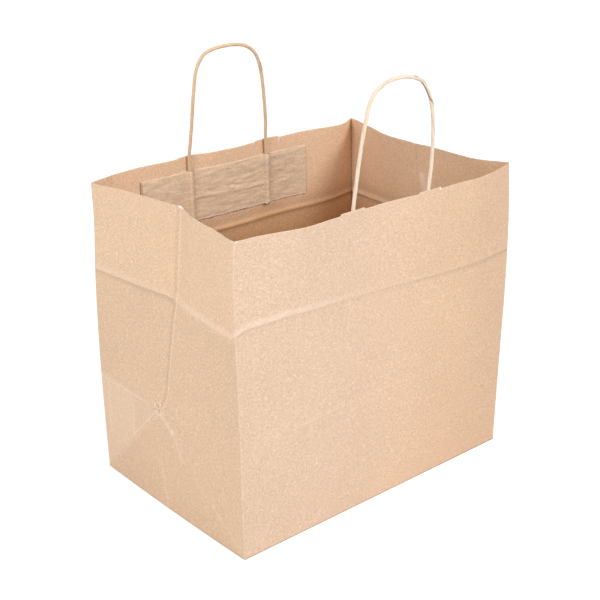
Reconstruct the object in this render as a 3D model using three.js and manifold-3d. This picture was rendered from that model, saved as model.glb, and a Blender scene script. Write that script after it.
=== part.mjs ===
// A gusseted kraft paper carrier bag with a folded block bottom, standing open
// on its base. Millimetres, +Z up. The origin is the centre of the base, on the
// surface that the bag stands on; X runs along the wide walls, and the front
// wall is on the -Y side.
//
// Every place on the sheet is given in sheet coordinates: the wall, the distance
// u along it from its middle, and the height z. wallPoint() turns them into a
// point in space, so what is glued to the sheet follows every bow and fold.

import * as THREE from 'three';
import { mergeVertices } from 'three/addons/utils/BufferGeometryUtils.js';
import Module from 'manifold-3d';

// The bag
const WIDTH = 310;             // front and back walls, corner fold to corner fold
const DEPTH = 207;             // side gussets, opened out
const HEIGHT = 282;            // base to rim
const PAPER = 0.16;            // thickness of the kraft sheet
const SEAM_LAP = 25;           // glued lap that closes the sheet into a tube
const BASE_LAP = 30;           // front and back bottom flaps cross over by this
const PACKING_FOLD = 204;      // height of the fold that packed it flat

// The rim
const TAB_WIDTH = 26;          // raised tabs of the knife cut, one at each cord leg
const TAB_RISE = 1.7;
const TEAR = 0.8;              // slanted width of a torn tab end
const NICK_WIDTH = 4;          // torn nick where the gusset crease meets the rim
const NICK_DEPTH = 1.5;

// How far the opened walls stand from the plain box
const GUSSET_FOLD_INSET = { left: 16.6, right: 12 };    // centre crease at the packing fold
const GUSSET_RIM_INSET = { left: 21, right: 16 };       // centre crease at the rim
const GUSSET_KNEE_OUTSET = 4;                           // where the base creases meet
const BOW_AT_FOLD = 0.5;                                // share of the rim's bow left there

// How far the rim of a wide wall bows out, at shares of the way along it
const RIM_BOW = {
  front: [[0, 0], [0.2, 10], [0.45, 10], [0.75, 15], [0.84, 15], [1, 0]],
  rear: [[0, 0], [0.09, -9.5], [0.34, 0], [0.45, 0], [0.64, 6.5], [0.86, 6.5], [1, 0]],
};

// The share of its full inset that the rim of a gusset has along it: a sharp V on
// the left, and pushed out into a flat-bottomed tub on the right
const GUSSET_RIM = {
  left: [[0, 0], [0.5, 1], [1, 0]],
  right: [[0, 0], [0.3, 1], [0.76, 1], [1, 0]],
};

// Each corner fold: its side of the box, and how far it leans at the packing fold and the rim
const CORNERS = {
  frontLeft: { x: -1, y: -1, fold: [-0.8, 0.6], rim: [2.0, 2.3] },
  frontRight: { x: 1, y: -1, fold: [2.0, -1.5], rim: [0.2, -0.3] },
  backRight: { x: 1, y: 1, fold: [1.5, 1.0], rim: [0.4, 1.4] },
  backLeft: { x: -1, y: 1, fold: [0.4, -0.8], rim: [0.6, -5.2] },
};

// The handles
const CORD_DIAMETER = 3.2;
const CORD_SPACING = 87;       // between the two legs of one handle
const LOOP_RISE = 98;          // rim to the middle of the cord at the top of the loop
const PATCH_LENGTH = 188;
const PATCH_HEIGHT = 50;
const PATCH_PAPER = 0.12;      // thickness of each glued strip
const PATCH_DROP = 14;         // rim to the top edge of the patch
const GLUE = 0.15;             // gap that the glue takes up

// The shape of each loop, from the rim at one leg round to the rim at the other:
// across in half spacings from the handle's centre, up in rises from the rim
const HANDLES = {
  front: {
    centre: -0.9, patchCentre: -0.9, lean: -3,
    loop: [
      [-0.91, 0.00], [-0.87, 0.15], [-0.82, 0.32], [-0.77, 0.48], [-0.73, 0.59], [-0.66, 0.735],
      [-0.61, 0.835], [-0.55, 0.90], [-0.46, 0.955], [-0.35, 0.99], [-0.17, 1.025], [0.08, 1.04],
      [0.30, 1.035], [0.51, 1.01], [0.67, 0.975], [0.80, 0.905], [0.89, 0.83], [0.95, 0.745],
      [1.00, 0.625], [1.025, 0.45], [1.015, 0.22], [0.975, 0.00],
    ],
  },
  rear: {
    centre: -2.9, patchCentre: -4.6, lean: -5,
    loop: [
      [-0.98, 0.00], [-0.945, 0.155], [-0.91, 0.295], [-0.885, 0.44], [-0.85, 0.60], [-0.795, 0.78],
      [-0.72, 0.865], [-0.61, 0.93], [-0.48, 0.96], [-0.30, 0.98], [-0.07, 0.988], [0.18, 0.985],
      [0.41, 0.965], [0.575, 0.927], [0.71, 0.867], [0.79, 0.796], [0.84, 0.727], [0.90, 0.593],
      [0.95, 0.415], [0.975, 0.30], [0.99, 0.22], [1.00, 0.00],
    ],
  },
};

// Mesh fineness
const WALL_STEP = 15;          // widest gap between columns of a wall
const RISE_STEP = 27;          // widest gap between levels
const GUSSET_CELLS = 6;        // columns in half a gusset, and levels up to its knee
const CORD_SIDES = 8;
const CORD_STEPS = 80;
const TINY = 1e-6;

// Worked out from the sizes above
const KNEE = DEPTH / 2;                            // height where the base creases meet
const PATCH_TOP = HEIGHT - PATCH_DROP;
const PATCH_BOTTOM = PATCH_TOP - PATCH_HEIGHT;
const CORD_RADIUS = CORD_DIAMETER / 2;
const RIDGE_TOP = 0.8 * CORD_RADIUS;               // half width of the cover's ridge on a leg
const RIDGE_FOOT = 2.3 * CORD_RADIUS;              // half width where it meets the flat strip
const BACKING_INSIDE = GLUE + PATCH_PAPER;         // inner face of the backing strip
const CORD_STANDOFF = BACKING_INSIDE + GLUE + CORD_RADIUS;
const FLAP_LENGTH = DEPTH / 2 + BASE_LAP / 2;
const GLUED_IN = PAPER / 16;                       // how far joined layers reach into each other

const { smoothstep, lerp } = THREE.MathUtils;

// The four walls in turn, anticlockwise seen from above, each with its two corners
// and the height of its lowest edge, which rests on the flaps folded in before it
const WALLS = {
  front: { from: 'frontLeft', to: 'frontRight', length: WIDTH, outward: [0, -1], foot: 0 },
  right: { from: 'frontRight', to: 'backRight', length: DEPTH, outward: [1, 0], foot: 3 * PAPER },
  rear: { from: 'backRight', to: 'backLeft', length: WIDTH, outward: [0, 1], foot: PAPER },
  left: { from: 'backLeft', to: 'frontLeft', length: DEPTH, outward: [-1, 0], foot: 3 * PAPER },
};
const isWide = (wall) => wall in RIM_BOW;

// A value that is 0 at the base and runs straight between the packing fold and the rim
function byHeight(z, atFold, atRim) {
  if (z <= PACKING_FOLD) return atFold * z / PACKING_FOLD;
  return lerp(atFold, atRim, (z - PACKING_FOLD) / (HEIGHT - PACKING_FOLD));
}

// A value given at some shares of the way along, either eased or straight between them
function along(knots, s, ease) {
  const next = Math.max(1, knots.findIndex(([share]) => share >= s - TINY));
  const [s0, value0] = knots[next - 1];
  const [s1, value1] = knots[next];
  return lerp(value0, value1, ease ? smoothstep(s, s0, s1) : (s - s0) / (s1 - s0));
}

function cornerAt(name, z) {
  const { x, y, fold, rim } = CORNERS[name];
  return [
    x * WIDTH / 2 + byHeight(z, fold[0], rim[0]),
    y * DEPTH / 2 + byHeight(z, fold[1], rim[1]),
  ];
}

// How far a gusset stands in. Its centre crease runs from the rim down to the knee.
// Below the knee the creases to the two base corners part three flat triangles.
function gussetInset(wall, s, z) {
  const across = 1 - Math.abs(2 * s - 1);        // 0 at the corner folds, 1 at the crease
  if (z <= KNEE) return -GUSSET_KNEE_OUTSET * Math.min(across, z / KNEE);
  const foldInset = GUSSET_FOLD_INSET[wall];
  if (z <= PACKING_FOLD) {
    return lerp(-GUSSET_KNEE_OUTSET, foldInset, (z - KNEE) / (PACKING_FOLD - KNEE)) * across;
  }
  const rimInset = GUSSET_RIM_INSET[wall] * along(GUSSET_RIM[wall], s, wall === 'right');
  return lerp(foldInset * across, rimInset, (z - PACKING_FOLD) / (HEIGHT - PACKING_FOLD));
}

// A point on the outer face of the sheet, at share s along a wall and height z
function outerFace(wall, s, z) {
  const { from, to, outward } = WALLS[wall];
  const [x0, y0] = cornerAt(from, z);
  const [x1, y1] = cornerAt(to, z);
  const out = isWide(wall)
    ? along(RIM_BOW[wall], s, true) * byHeight(z, BOW_AT_FOLD, 1)
    : -gussetInset(wall, s, z);
  return new THREE.Vector3(
    lerp(x0, x1, s) + outward[0] * out,
    lerp(y0, y1, s) + outward[1] * out,
    z,
  );
}

// A point at depth inside the outer face, measured square to the wall in plan
function wallPoint(wall, u, z, depth = 0) {
  const { length } = WALLS[wall];
  const s = u / length + 0.5;
  const reach = 1 / length;                      // a millimetre each way
  const before = outerFace(wall, Math.max(0, s - reach), z);
  const after = outerFace(wall, Math.min(1, s + reach), z);
  const run = after.sub(before).normalize();
  return outerFace(wall, s, z).add(new THREE.Vector3(-run.y, run.x, 0).multiplyScalar(depth));
}

// On the rear wall u runs towards -X, so its handle is placed by the opposite sign
const uFromX = (side, x) => (side === 'rear' ? -x : x);
const legX = (side, leg) => HANDLES[side].centre + leg * CORD_SPACING / 2;
const patchEndX = (side, end) => HANDLES[side].patchCentre + end * PATCH_LENGTH / 2;

// The stops between two values, evenly filled so that no gap is wider than step
function fill(stops, step) {
  const sorted = [...stops].sort((a, b) => a - b);
  const filled = [sorted[0]];
  for (const stop of sorted.slice(1)) {
    const start = filled[filled.length - 1];
    const cells = Math.max(1, Math.ceil((stop - start) / step));
    for (let i = 1; i <= cells; i++) filled.push(lerp(start, stop, i / cells));
  }
  return filled;
}

function tabEnds(side) {
  return [-1, 1].flatMap((leg) => [-1, 1].map((end) => ({
    inside: uFromX(side, legX(side, leg) + end * (TAB_WIDTH / 2 - TEAR)),
    outside: uFromX(side, legX(side, leg) + end * TAB_WIDTH / 2),
  })));
}

function ridgeStops(side) {
  return [-1, 1].flatMap((leg) => [-RIDGE_FOOT, -RIDGE_TOP, RIDGE_TOP, RIDGE_FOOT]
    .map((off) => uFromX(side, legX(side, leg) + off)));
}

function patchStops(side) {
  return [uFromX(side, patchEndX(side, -1)), uFromX(side, patchEndX(side, 1)), ...ridgeStops(side)];
}

// The columns of a wide wall: corners, tab ends, patch ends, ridges and the seam's edge
function wideColumns(side) {
  const stops = [-WIDTH / 2, WIDTH / 2, ...patchStops(side)];
  for (const { inside, outside } of tabEnds(side)) stops.push(inside, outside);
  if (side === 'rear') stops.push(WIDTH / 2 - SEAM_LAP - TEAR, WIDTH / 2 - SEAM_LAP);
  return fill(stops, WALL_STEP);
}

function gussetColumns() {
  const stops = [-NICK_WIDTH / 2, NICK_WIDTH / 2];
  for (let i = 0; i <= 2 * GUSSET_CELLS; i++) stops.push((i / GUSSET_CELLS - 1) * DEPTH / 2);
  return stops.sort((a, b) => a - b);
}

// The height of the cut rim
function rimHeight(wall, u) {
  if (isWide(wall)) {
    const onTab = [-1, 1].some((leg) => (
      Math.abs(u - uFromX(wall, legX(wall, leg))) < TAB_WIDTH / 2 - TEAR / 2));
    return HEIGHT + (onTab ? TAB_RISE : 0);
  }
  return HEIGHT - (Math.abs(u) < NICK_WIDTH / 4 ? NICK_DEPTH : 0);
}

// The sheet is twice as thick where its inner edge laps past the back left corner
function thickness(wall, u) {
  const lapped = wall === 'rear' && u > WIDTH / 2 - SEAM_LAP - TEAR / 2;
  return lapped ? 2 * PAPER : PAPER;
}

// The lowest edge of the sheet. At a corner it is the lower of the two walls'.
function footHeight(wall, u) {
  const { length, from, foot } = WALLS[wall];
  if (u > -length / 2) return foot;
  const previous = Object.values(WALLS).find(({ to }) => to === from);
  return Math.min(foot, previous.foot);
}

// Levels from the base to just under the rim. Below the knee they are as many as
// the columns of half a gusset, so that the base creases run from node to node.
function levels() {
  const low = [];
  for (let i = 1; i <= GUSSET_CELLS; i++) low.push(i / GUSSET_CELLS * KNEE);
  const high = fill([KNEE, PACKING_FOLD, PATCH_BOTTOM, PATCH_TOP], RISE_STEP);
  return [...low, ...high.slice(1)];
}

// The levels that cross the patches
function patchLevels() {
  return levels().filter((z) => z >= PATCH_BOTTOM - TINY && z <= PATCH_TOP + TINY);
}

// A closed solid between two equal grids of points, face and back. A wrapped grid
// joins its last column to its first. risesForward(i) says which diagonal splits
// the cells after column i.
function slab(face, back, wraps, risesForward) {
  const columns = face.length;
  const rows = face[0].length;
  const positions = [];
  for (const point of [...face.flat(), ...back.flat()]) positions.push(...point.toArray());
  const at = (side, i, j) => (side * columns + (i % columns)) * rows + j;
  const triangles = [];
  const quad = (a, b, c, d, split) => {
    if (split) triangles.push(a, b, c, a, c, d);
    else triangles.push(a, b, d, b, c, d);
  };
  const cells = wraps ? columns : columns - 1;
  for (let i = 0; i < cells; i++) {
    for (let j = 0; j < rows - 1; j++) {
      const split = risesForward(i);
      quad(at(0, i, j), at(0, i + 1, j), at(0, i + 1, j + 1), at(0, i, j + 1), split);
      quad(at(1, i + 1, j), at(1, i, j), at(1, i, j + 1), at(1, i + 1, j + 1), !split);
    }
    quad(at(1, i, 0), at(1, i + 1, 0), at(0, i + 1, 0), at(0, i, 0), true);
    const top = rows - 1;
    quad(at(0, i, top), at(0, i + 1, top), at(1, i + 1, top), at(1, i, top), true);
  }
  if (!wraps) {
    for (let j = 0; j < rows - 1; j++) {
      quad(at(1, 0, j), at(0, 0, j), at(0, 0, j + 1), at(1, 0, j + 1), true);
      const end = columns - 1;
      quad(at(0, end, j), at(1, end, j), at(1, end, j + 1), at(0, end, j + 1), true);
    }
  }
  const geometry = new THREE.BufferGeometry();
  geometry.setAttribute('position', new THREE.Float32BufferAttribute(positions, 3));
  geometry.setIndex(triangles);
  return geometry;
}

const wasm = await Module();
wasm.setup();

function toManifold(geometry) {
  const bare = geometry.clone();
  bare.deleteAttribute('normal');
  bare.deleteAttribute('uv');
  const merged = mergeVertices(bare, TINY);
  return new wasm.Manifold(new wasm.Mesh({
    numProp: 3,
    vertProperties: new Float32Array(merged.attributes.position.array),
    triVerts: new Uint32Array(merged.index.array),
  }));
}

function toGeometry(manifold) {
  const mesh = manifold.getMesh();
  const geometry = new THREE.BufferGeometry();
  geometry.setAttribute('position', new THREE.BufferAttribute(mesh.vertProperties, 3));
  geometry.setIndex(new THREE.BufferAttribute(mesh.triVerts, 1));
  return geometry;
}

// A ring of points moved inwards in plan by the depth at each, with mitred corners
function insetRing(ring, depths) {
  const count = ring.length;
  return ring.map((point, i) => {
    const before = ring[(i + count - 1) % count];
    const after = ring[(i + 1) % count];
    const into = new THREE.Vector2(point.x - before.x, point.y - before.y).normalize();
    const out = new THREE.Vector2(after.x - point.x, after.y - point.y).normalize();
    const middle = new THREE.Vector2(-into.y - out.y, into.x + out.x).normalize();
    const depth = depths[i] / (middle.y * out.x - middle.x * out.y);
    return new THREE.Vector3(point.x + middle.x * depth, point.y + middle.y * depth, point.z);
  });
}

// The four walls as one tube of sheet
function wallTube() {
  const columns = [];
  for (const wall of Object.keys(WALLS)) {
    const stops = isWide(wall) ? wideColumns(wall) : gussetColumns();
    for (const u of stops.slice(0, -1)) columns.push({ wall, u });
  }
  const heights = levels();
  const face = columns.map(({ wall, u }) => {
    const column = [0, ...heights].map((z) => wallPoint(wall, u, z));
    column[0].z = footHeight(wall, u);
    const rim = wallPoint(wall, u, HEIGHT);
    rim.z = rimHeight(wall, u);
    return [...column, rim];
  });
  const depths = columns.map(({ wall, u }) => thickness(wall, u));
  const back = face.map((column) => column.map(() => null));
  for (let j = 0; j < face[0].length; j++) {
    insetRing(face.map((column) => column[j]), depths).forEach((p, i) => { back[i][j] = p; });
  }
  // On a gusset the split follows the crease from each base corner to the knee
  const risesForward = (i) => isWide(columns[i].wall) || columns[i].u < 0;
  return slab(face, back, true, risesForward);
}

// A flat layer of the folded bottom, from one height to another. It reaches a
// little into the layer above, so that the union joins them as the glue does.
function layer(outline, low, high) {
  const shape = new THREE.Shape(outline.map(([x, y]) => new THREE.Vector2(x, y)));
  const depth = high - low + GLUED_IN;
  const geometry = new THREE.ExtrudeGeometry(shape, { depth, bevelEnabled: false, steps: 1 });
  geometry.translate(0, 0, low);
  return toManifold(geometry);
}

// The bottom: the front flap is outermost, the rear flap crosses it, and the side
// flaps lie inside on the webs that fold in with them along the corner diagonals
function bottomLayers() {
  const x = WIDTH / 2 - PAPER / 2;
  const y = DEPTH / 2 - PAPER / 2;
  const t = PAPER;
  const tip = x - FLAP_LENGTH;
  const flap = (sign) => [
    [-x, sign * y], [x, sign * y], [tip, sign * (y - FLAP_LENGTH)], [-tip, sign * (y - FLAP_LENGTH)],
  ];
  const turned = (outline, sign) => (sign < 0 ? outline : [...outline].reverse());
  const layers = [layer(turned(flap(-1), -1), 0, t), layer(turned(flap(1), 1), t, 2 * t)];
  for (const end of [-1, 1]) {
    const sideFlap = [[end * x, -y], [end * x, y], [end * tip, y], [end * tip, -y]];
    layers.push(layer(turned(sideFlap, -end), 3 * t, 4 * t));
    for (const sign of [-1, 1]) {
      const web = [[end * x, sign * y], [end * tip, sign * y], [end * tip, sign * (y - FLAP_LENGTH)]];
      layers.push(layer(turned(web, -end * sign), sign < 0 ? t : 2 * t, 3 * t));
    }
  }
  return layers;
}

function bagBody() {
  let solid = toManifold(wallTube());
  for (const part of bottomLayers()) solid = solid.add(part);
  return toGeometry(solid);
}

// How far the cover strip stands off the backing strip at u: it drapes over each leg
function coverLift(side, u) {
  const nearest = Math.min(...[-1, 1].map((leg) => Math.abs(u - uFromX(side, legX(side, leg)))));
  const top = CORD_DIAMETER + 2 * GLUE;
  if (nearest <= RIDGE_TOP) return top;
  return lerp(top, GLUE, Math.min(1, (nearest - RIDGE_TOP) / (RIDGE_FOOT - RIDGE_TOP)));
}

// A strip of patch paper glued along the inside of a wide wall
function patchStrip(side, standoff) {
  const ends = patchStops(side).slice(0, 2).sort((a, b) => a - b);
  const columns = wideColumns(side).filter((u) => u >= ends[0] - TINY && u <= ends[1] + TINY);
  const heights = patchLevels();
  const grid = (extra) => columns.map((u) => (
    heights.map((z) => wallPoint(side, u, z, PAPER + standoff(u) + extra))));
  return slab(grid(0), grid(PATCH_PAPER), false, () => true);
}

// The middle of a handle cord: up one leg inside the patch, round the loop, down the other
function cordRoute(side) {
  const { centre, lean, loop } = HANDLES[side];
  const points = [];
  const legHeights = patchLevels();
  const leg = (sign, z) => (
    wallPoint(side, uFromX(side, legX(side, sign)), z, PAPER + CORD_STANDOFF));
  for (const z of legHeights) points.push(leg(-1, z));
  const [left, right] = [-1, 1].map((sign) => leg(sign, HEIGHT));
  for (const [across, up] of loop) {
    points.push(new THREE.Vector3(
      centre + across * CORD_SPACING / 2,
      lerp(left.y, right.y, (across + 1) / 2) + lean * up,
      HEIGHT + up * LOOP_RISE,
    ));
  }
  for (const z of [...legHeights].reverse()) points.push(leg(1, z));
  return new THREE.CatmullRomCurve3(points, false, 'centripetal');
}

function handleCord(side) {
  const section = new THREE.Shape();
  for (let i = 0; i < CORD_SIDES; i++) {
    const angle = (i + 0.5) / CORD_SIDES * 2 * Math.PI;
    const [x, y] = [CORD_RADIUS * Math.cos(angle), CORD_RADIUS * Math.sin(angle)];
    if (i) section.lineTo(x, y);
    else section.moveTo(x, y);
  }
  return new THREE.ExtrudeGeometry(section, { steps: CORD_STEPS, extrudePath: cordRoute(side) });
}

const kraft = () => new THREE.MeshStandardMaterial({ color: 0xdcb48e, roughness: 0.92, metalness: 0 });
const patchPaper = () => new THREE.MeshStandardMaterial({ color: 0xcfa985, roughness: 0.9, metalness: 0 });
const twistedPaper = () => new THREE.MeshStandardMaterial({ color: 0xe6c8a4, roughness: 0.85, metalness: 0 });

const bag = new THREE.Group();

function add(name, geometry, material) {
  const mesh = new THREE.Mesh(geometry, material);
  mesh.name = name;
  bag.add(mesh);
}

add('bag_body', bagBody(), kraft());
for (const side of Object.keys(HANDLES)) {
  add(`${side}_patch_backing`, patchStrip(side, () => GLUE), patchPaper());
  add(`${side}_handle_cord`, handleCord(side), twistedPaper());
  add(`${side}_patch_cover`, patchStrip(side, (u) => BACKING_INSIDE + coverLift(side, u)), patchPaper());
}

export default bag;
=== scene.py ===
# %% [markdown]
# # A kraft paper carrier bag, opened and standing
#
# The real bag is one sheet of brown kraft paper: glued into a tube, creased into four
# walls, and folded shut underneath. Two twisted paper cords are glued to its inside,
# each between two strips of paper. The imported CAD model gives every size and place, so
# it is loaded first, and each piece below is made in its frame, in metres.

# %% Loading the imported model
import math
from collections import namedtuple

import bpy
import numpy as np
from mathutils import Matrix, Vector, noise


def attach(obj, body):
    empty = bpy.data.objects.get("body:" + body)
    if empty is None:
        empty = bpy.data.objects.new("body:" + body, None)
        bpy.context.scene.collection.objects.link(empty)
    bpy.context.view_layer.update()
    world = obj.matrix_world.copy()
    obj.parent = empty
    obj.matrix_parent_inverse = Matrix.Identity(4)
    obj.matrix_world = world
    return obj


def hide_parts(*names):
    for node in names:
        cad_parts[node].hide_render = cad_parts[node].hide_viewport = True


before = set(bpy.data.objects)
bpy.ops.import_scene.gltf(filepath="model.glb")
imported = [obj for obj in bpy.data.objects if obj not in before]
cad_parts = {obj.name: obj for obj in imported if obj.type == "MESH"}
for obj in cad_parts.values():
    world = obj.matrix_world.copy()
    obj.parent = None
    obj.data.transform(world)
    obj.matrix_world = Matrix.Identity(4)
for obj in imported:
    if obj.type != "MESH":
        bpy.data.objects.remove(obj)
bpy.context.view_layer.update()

MM = 0.001
print("CAD nodes:", ", ".join(sorted(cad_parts)))

# %% [markdown]
# ## The camera
#
# A camera is placed here as a photographer would: what it looks at, how far off it
# stands, how far it is turned and tilted, and its lens. The small roll is a tripod
# that isn't quite level. Its three axes are worked out from those angles, because a
# matrix of axes can't be read the wrong way round, as three turns in a row can.

# %% The camera
AIM = Vector((-2.1, 1.77, 159.39)) * MM
DISTANCE = 1.1456
TURN = math.radians(40.205)
TILT = math.radians(22.994)
ROLL = math.radians(-0.713)
LENS = 75.0

flat_forward = Vector((math.sin(TURN), math.cos(TURN), 0))
forward = flat_forward * math.cos(TILT) - Vector((0, 0, math.sin(TILT)))
level = Vector((math.cos(TURN), -math.sin(TURN), 0))
upright = level.cross(forward)
camera_right = level * math.cos(ROLL) + upright * math.sin(ROLL)
camera_up = upright * math.cos(ROLL) - level * math.sin(ROLL)

camera_data = bpy.data.cameras.new("camera")
camera_data.lens = LENS
camera_data.sensor_width = 36
camera = bpy.data.objects.new("camera", camera_data)
axes = Matrix((camera_right, camera_up, -forward)).transposed()
camera.matrix_world = Matrix.Translation(AIM - forward * DISTANCE) @ axes.to_4x4()
bpy.context.scene.collection.objects.link(camera)
bpy.context.scene.camera = camera
print("camera at", tuple(round(c, 3) for c in camera.matrix_world.translation))

# %% [markdown]
# ## The route of the two handle cords
#
# Each cord goes up one leg inside its glued patch, round the loop, and down the other
# leg. The points are the ones that the CAD model gives its cords. A spline runs smoothly
# through the listed points, and this form of it, the centripetal one, doesn't
# overshoot where they are close together.

# %% Points of the cords
CORD_DIAMETER = 3.2
HALF_SPACING = 43.5
LOOP_RISE = 98
HEIGHT = 282

HANDLES = {
    "front": {
        "centre": -0.9, "lean": -3, "rim": (-109.95, -114.10),
        "left": [(-43.98, -107.09, 218), (-43.61, -108.21, 243), (-43.23, -109.32, 268)],
        "right": [(43.64, -113.14, 268), (43.66, -111.43, 243), (43.67, -109.73, 218)],
        "loop": [
            (-0.91, 0.00), (-0.87, 0.15), (-0.82, 0.32), (-0.77, 0.48), (-0.73, 0.59),
            (-0.66, 0.735), (-0.61, 0.835), (-0.55, 0.90), (-0.46, 0.955), (-0.35, 0.99),
            (-0.17, 1.025), (0.08, 1.04), (0.30, 1.035), (0.51, 1.01), (0.67, 0.975),
            (0.80, 0.905), (0.89, 0.83), (0.95, 0.745), (1.00, 0.625), (1.025, 0.45),
            (1.015, 0.22), (0.975, 0.00),
        ],
    },
    "rear": {
        "centre": -2.9, "lean": -5, "rim": (104.93, 100.28),
        "left": [(-45.64, 104.50, 218), (-45.71, 104.67, 243), (-45.78, 104.84, 268)],
        "right": [(41.23, 100.53, 268), (41.41, 100.97, 243), (41.60, 101.41, 218)],
        "loop": [
            (-0.98, 0.00), (-0.945, 0.155), (-0.91, 0.295), (-0.885, 0.44), (-0.85, 0.60),
            (-0.795, 0.78), (-0.72, 0.865), (-0.61, 0.93), (-0.48, 0.96), (-0.30, 0.98),
            (-0.07, 0.988), (0.18, 0.985), (0.41, 0.965), (0.575, 0.927), (0.71, 0.867),
            (0.79, 0.796), (0.84, 0.727), (0.90, 0.593), (0.95, 0.415), (0.975, 0.30),
            (0.99, 0.22), (1.00, 0.00),
        ],
    },
}


def route_points(handle):
    """The points of one cord, in millimetres, from one leg's foot to the other's."""
    left_y, right_y = handle["rim"]
    loop = [
        (
            handle["centre"] + across * HALF_SPACING,
            left_y + (right_y - left_y) * (across + 1) / 2 + handle["lean"] * up,
            HEIGHT + up * LOOP_RISE,
        )
        for across, up in handle["loop"]
    ]
    return np.array(handle["left"] + loop + handle["right"], dtype=float)


def smooth_route(points, steps_a_gap):
    """Points on a centripetal spline through the given points."""
    ends = [2 * points[0] - points[1]], [2 * points[-1] - points[-2]]
    p = np.concatenate([ends[0], points, ends[1]])
    gaps = np.linalg.norm(np.diff(p, axis=0), axis=1) ** 0.5
    share = np.arange(steps_a_gap)[:, None] / steps_a_gap
    curve = []
    for i in range(1, len(p) - 2):
        d0, d1, d2 = gaps[i - 1], gaps[i], gaps[i + 1]
        leave = (p[i] - p[i - 1]) / d0 - (p[i + 1] - p[i - 1]) / (d0 + d1) + (p[i + 1] - p[i]) / d1
        reach = (p[i + 1] - p[i]) / d1 - (p[i + 2] - p[i]) / (d1 + d2) + (p[i + 2] - p[i + 1]) / d2
        leave, reach = leave * d1, reach * d1
        rise = 3 * (p[i + 1] - p[i]) - 2 * leave - reach
        settle = 2 * (p[i] - p[i + 1]) + leave + reach
        curve.append(p[i] + leave * share + rise * share**2 + settle * share**3)
    return np.concatenate(curve + [points[-1:]])


def evenly_spaced(curve, step):
    """The same curve with its points one step apart."""
    walked = np.concatenate([[0], np.cumsum(np.linalg.norm(np.diff(curve, axis=0), axis=1))])
    stops = np.linspace(0, walked[-1], round(walked[-1] / step) + 1)
    return np.stack([np.interp(stops, walked, curve[:, axis]) for axis in range(3)], axis=1)


STEPS_A_GAP = 24
RING_GAP = 1.0                  # millimetres between two points of a finished route

routes = {
    side: evenly_spaced(smooth_route(route_points(handle), STEPS_A_GAP), RING_GAP)
    for side, handle in HANDLES.items()
}
for side, route in routes.items():
    print(side, "cord:", round(np.linalg.norm(np.diff(route, axis=0), axis=1).sum()), "mm")

# %% [markdown]
# ## A mesh from plain arrays
#
# Every piece here is paper: a surface with a front and a back. One helper makes the
# mesh object from points, faces and named numbers that the materials read, and hands
# it to the CAD body that it moves with.


# %% From arrays to a piece
def make_piece(name, points, faces, readings, replaced, slot):
    """A mesh object in metres from points in millimetres, riding on the bag."""
    mesh = bpy.data.meshes.new(name)
    mesh.from_pydata((points * MM).tolist(), [], faces)
    for key, values in readings.items():
        kind = "FLOAT" if values.ndim == 1 else "FLOAT_VECTOR"
        field = "value" if values.ndim == 1 else "vector"
        attribute = mesh.attributes.new(key, kind, "POINT")
        attribute.data.foreach_set(field, np.ascontiguousarray(values, np.float32).ravel())
    mesh.polygons.foreach_set("use_smooth", [True] * len(mesh.polygons))
    mesh.validate()
    piece = bpy.data.objects.new(name, mesh)
    bpy.context.scene.collection.objects.link(piece)
    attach(piece, "root")
    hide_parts(replaced)
    print(name, len(points), "points,", len(faces), "faces")
    return piece


# %% [markdown]
# ## Twisted cords
#
# The handle is a band of paper rolled into a rope, so its surface shows the band's
# edge as a seam that winds slowly round it, with shallow creases beside it. A plain
# bevelled curve would be a smooth wire. Here rings of points follow the route, and
# each point is drawn in where a groove passes, by its angle and how far along it is.
# Near the top of each loop the band has split: the split's lip stands up a little, and painted
# shade darkens the gap.

# %% The cords
CORD_SIDES = 24
TWIST = 46.0                    # millimetres along the cord for one turn of the seam
GROOVES = [(0.0, 0.19, 0.30), (2.3, 0.11, 0.30), (4.1, 0.13, 0.26)]    # angle, depth, width
PHASES = {"front": 0.6, "rear": 2.9}    # where the twist starts, at the left leg's foot
FLATTENED = 0.03                # how far the cord is from round, as a share
FLATTENED_EVERY = 7.3           # millimetres along it for one radian of that
LAY_UNIT = 9                    # millimetres along the cord for one unit of its grain
PATH_STEP = 3                   # rings between two points of the path that is handed on
TURN_ROUND = 2 * math.pi

# Splits in the cord's paper: start and end along it, and where each end lies across the
# side that faces the front left, from -1 at the loop's inside to 1 at its outside
SPLITS = {
    "front": [(203, 206, 0.9, 0.9), (213, 228, -1.2, -1.1), (228, 239, -1.1, 1.3)],
    "rear": [(230, 237, 0.6, 0.9)],
}
SPLIT_WIDTH = 0.42              # half of it, in radians round the cord
SPLIT_FADE = 1.5                # millimetres in which an end fades
SPLIT_LIP = 0.3
FRONT_LEFT = (-0.42, -0.49, 0.28)


def ring_frames(route):
    """Two directions square to the route at each point, carried along without twist."""
    ahead = np.gradient(route, axis=0)
    ahead /= np.linalg.norm(ahead, axis=1)[:, None]
    side = np.cross(ahead[0], (0, 1, 0))
    sides = []
    for direction in ahead:
        side = side - direction * side.dot(direction)
        side = side / np.linalg.norm(side)
        sides.append(side)
    sides = np.array(sides)
    return sides, np.cross(ahead, sides)


def ease(value, low, high):
    """0 below low, 1 above high, and a smooth rise between them."""
    t = np.clip((value - low) / (high - low), 0, 1)
    return t * t * (3 - 2 * t)


def around(angle):
    """How far an angle is from 0, whichever way round is shorter."""
    return np.abs((angle + math.pi) % TURN_ROUND - math.pi)


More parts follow.
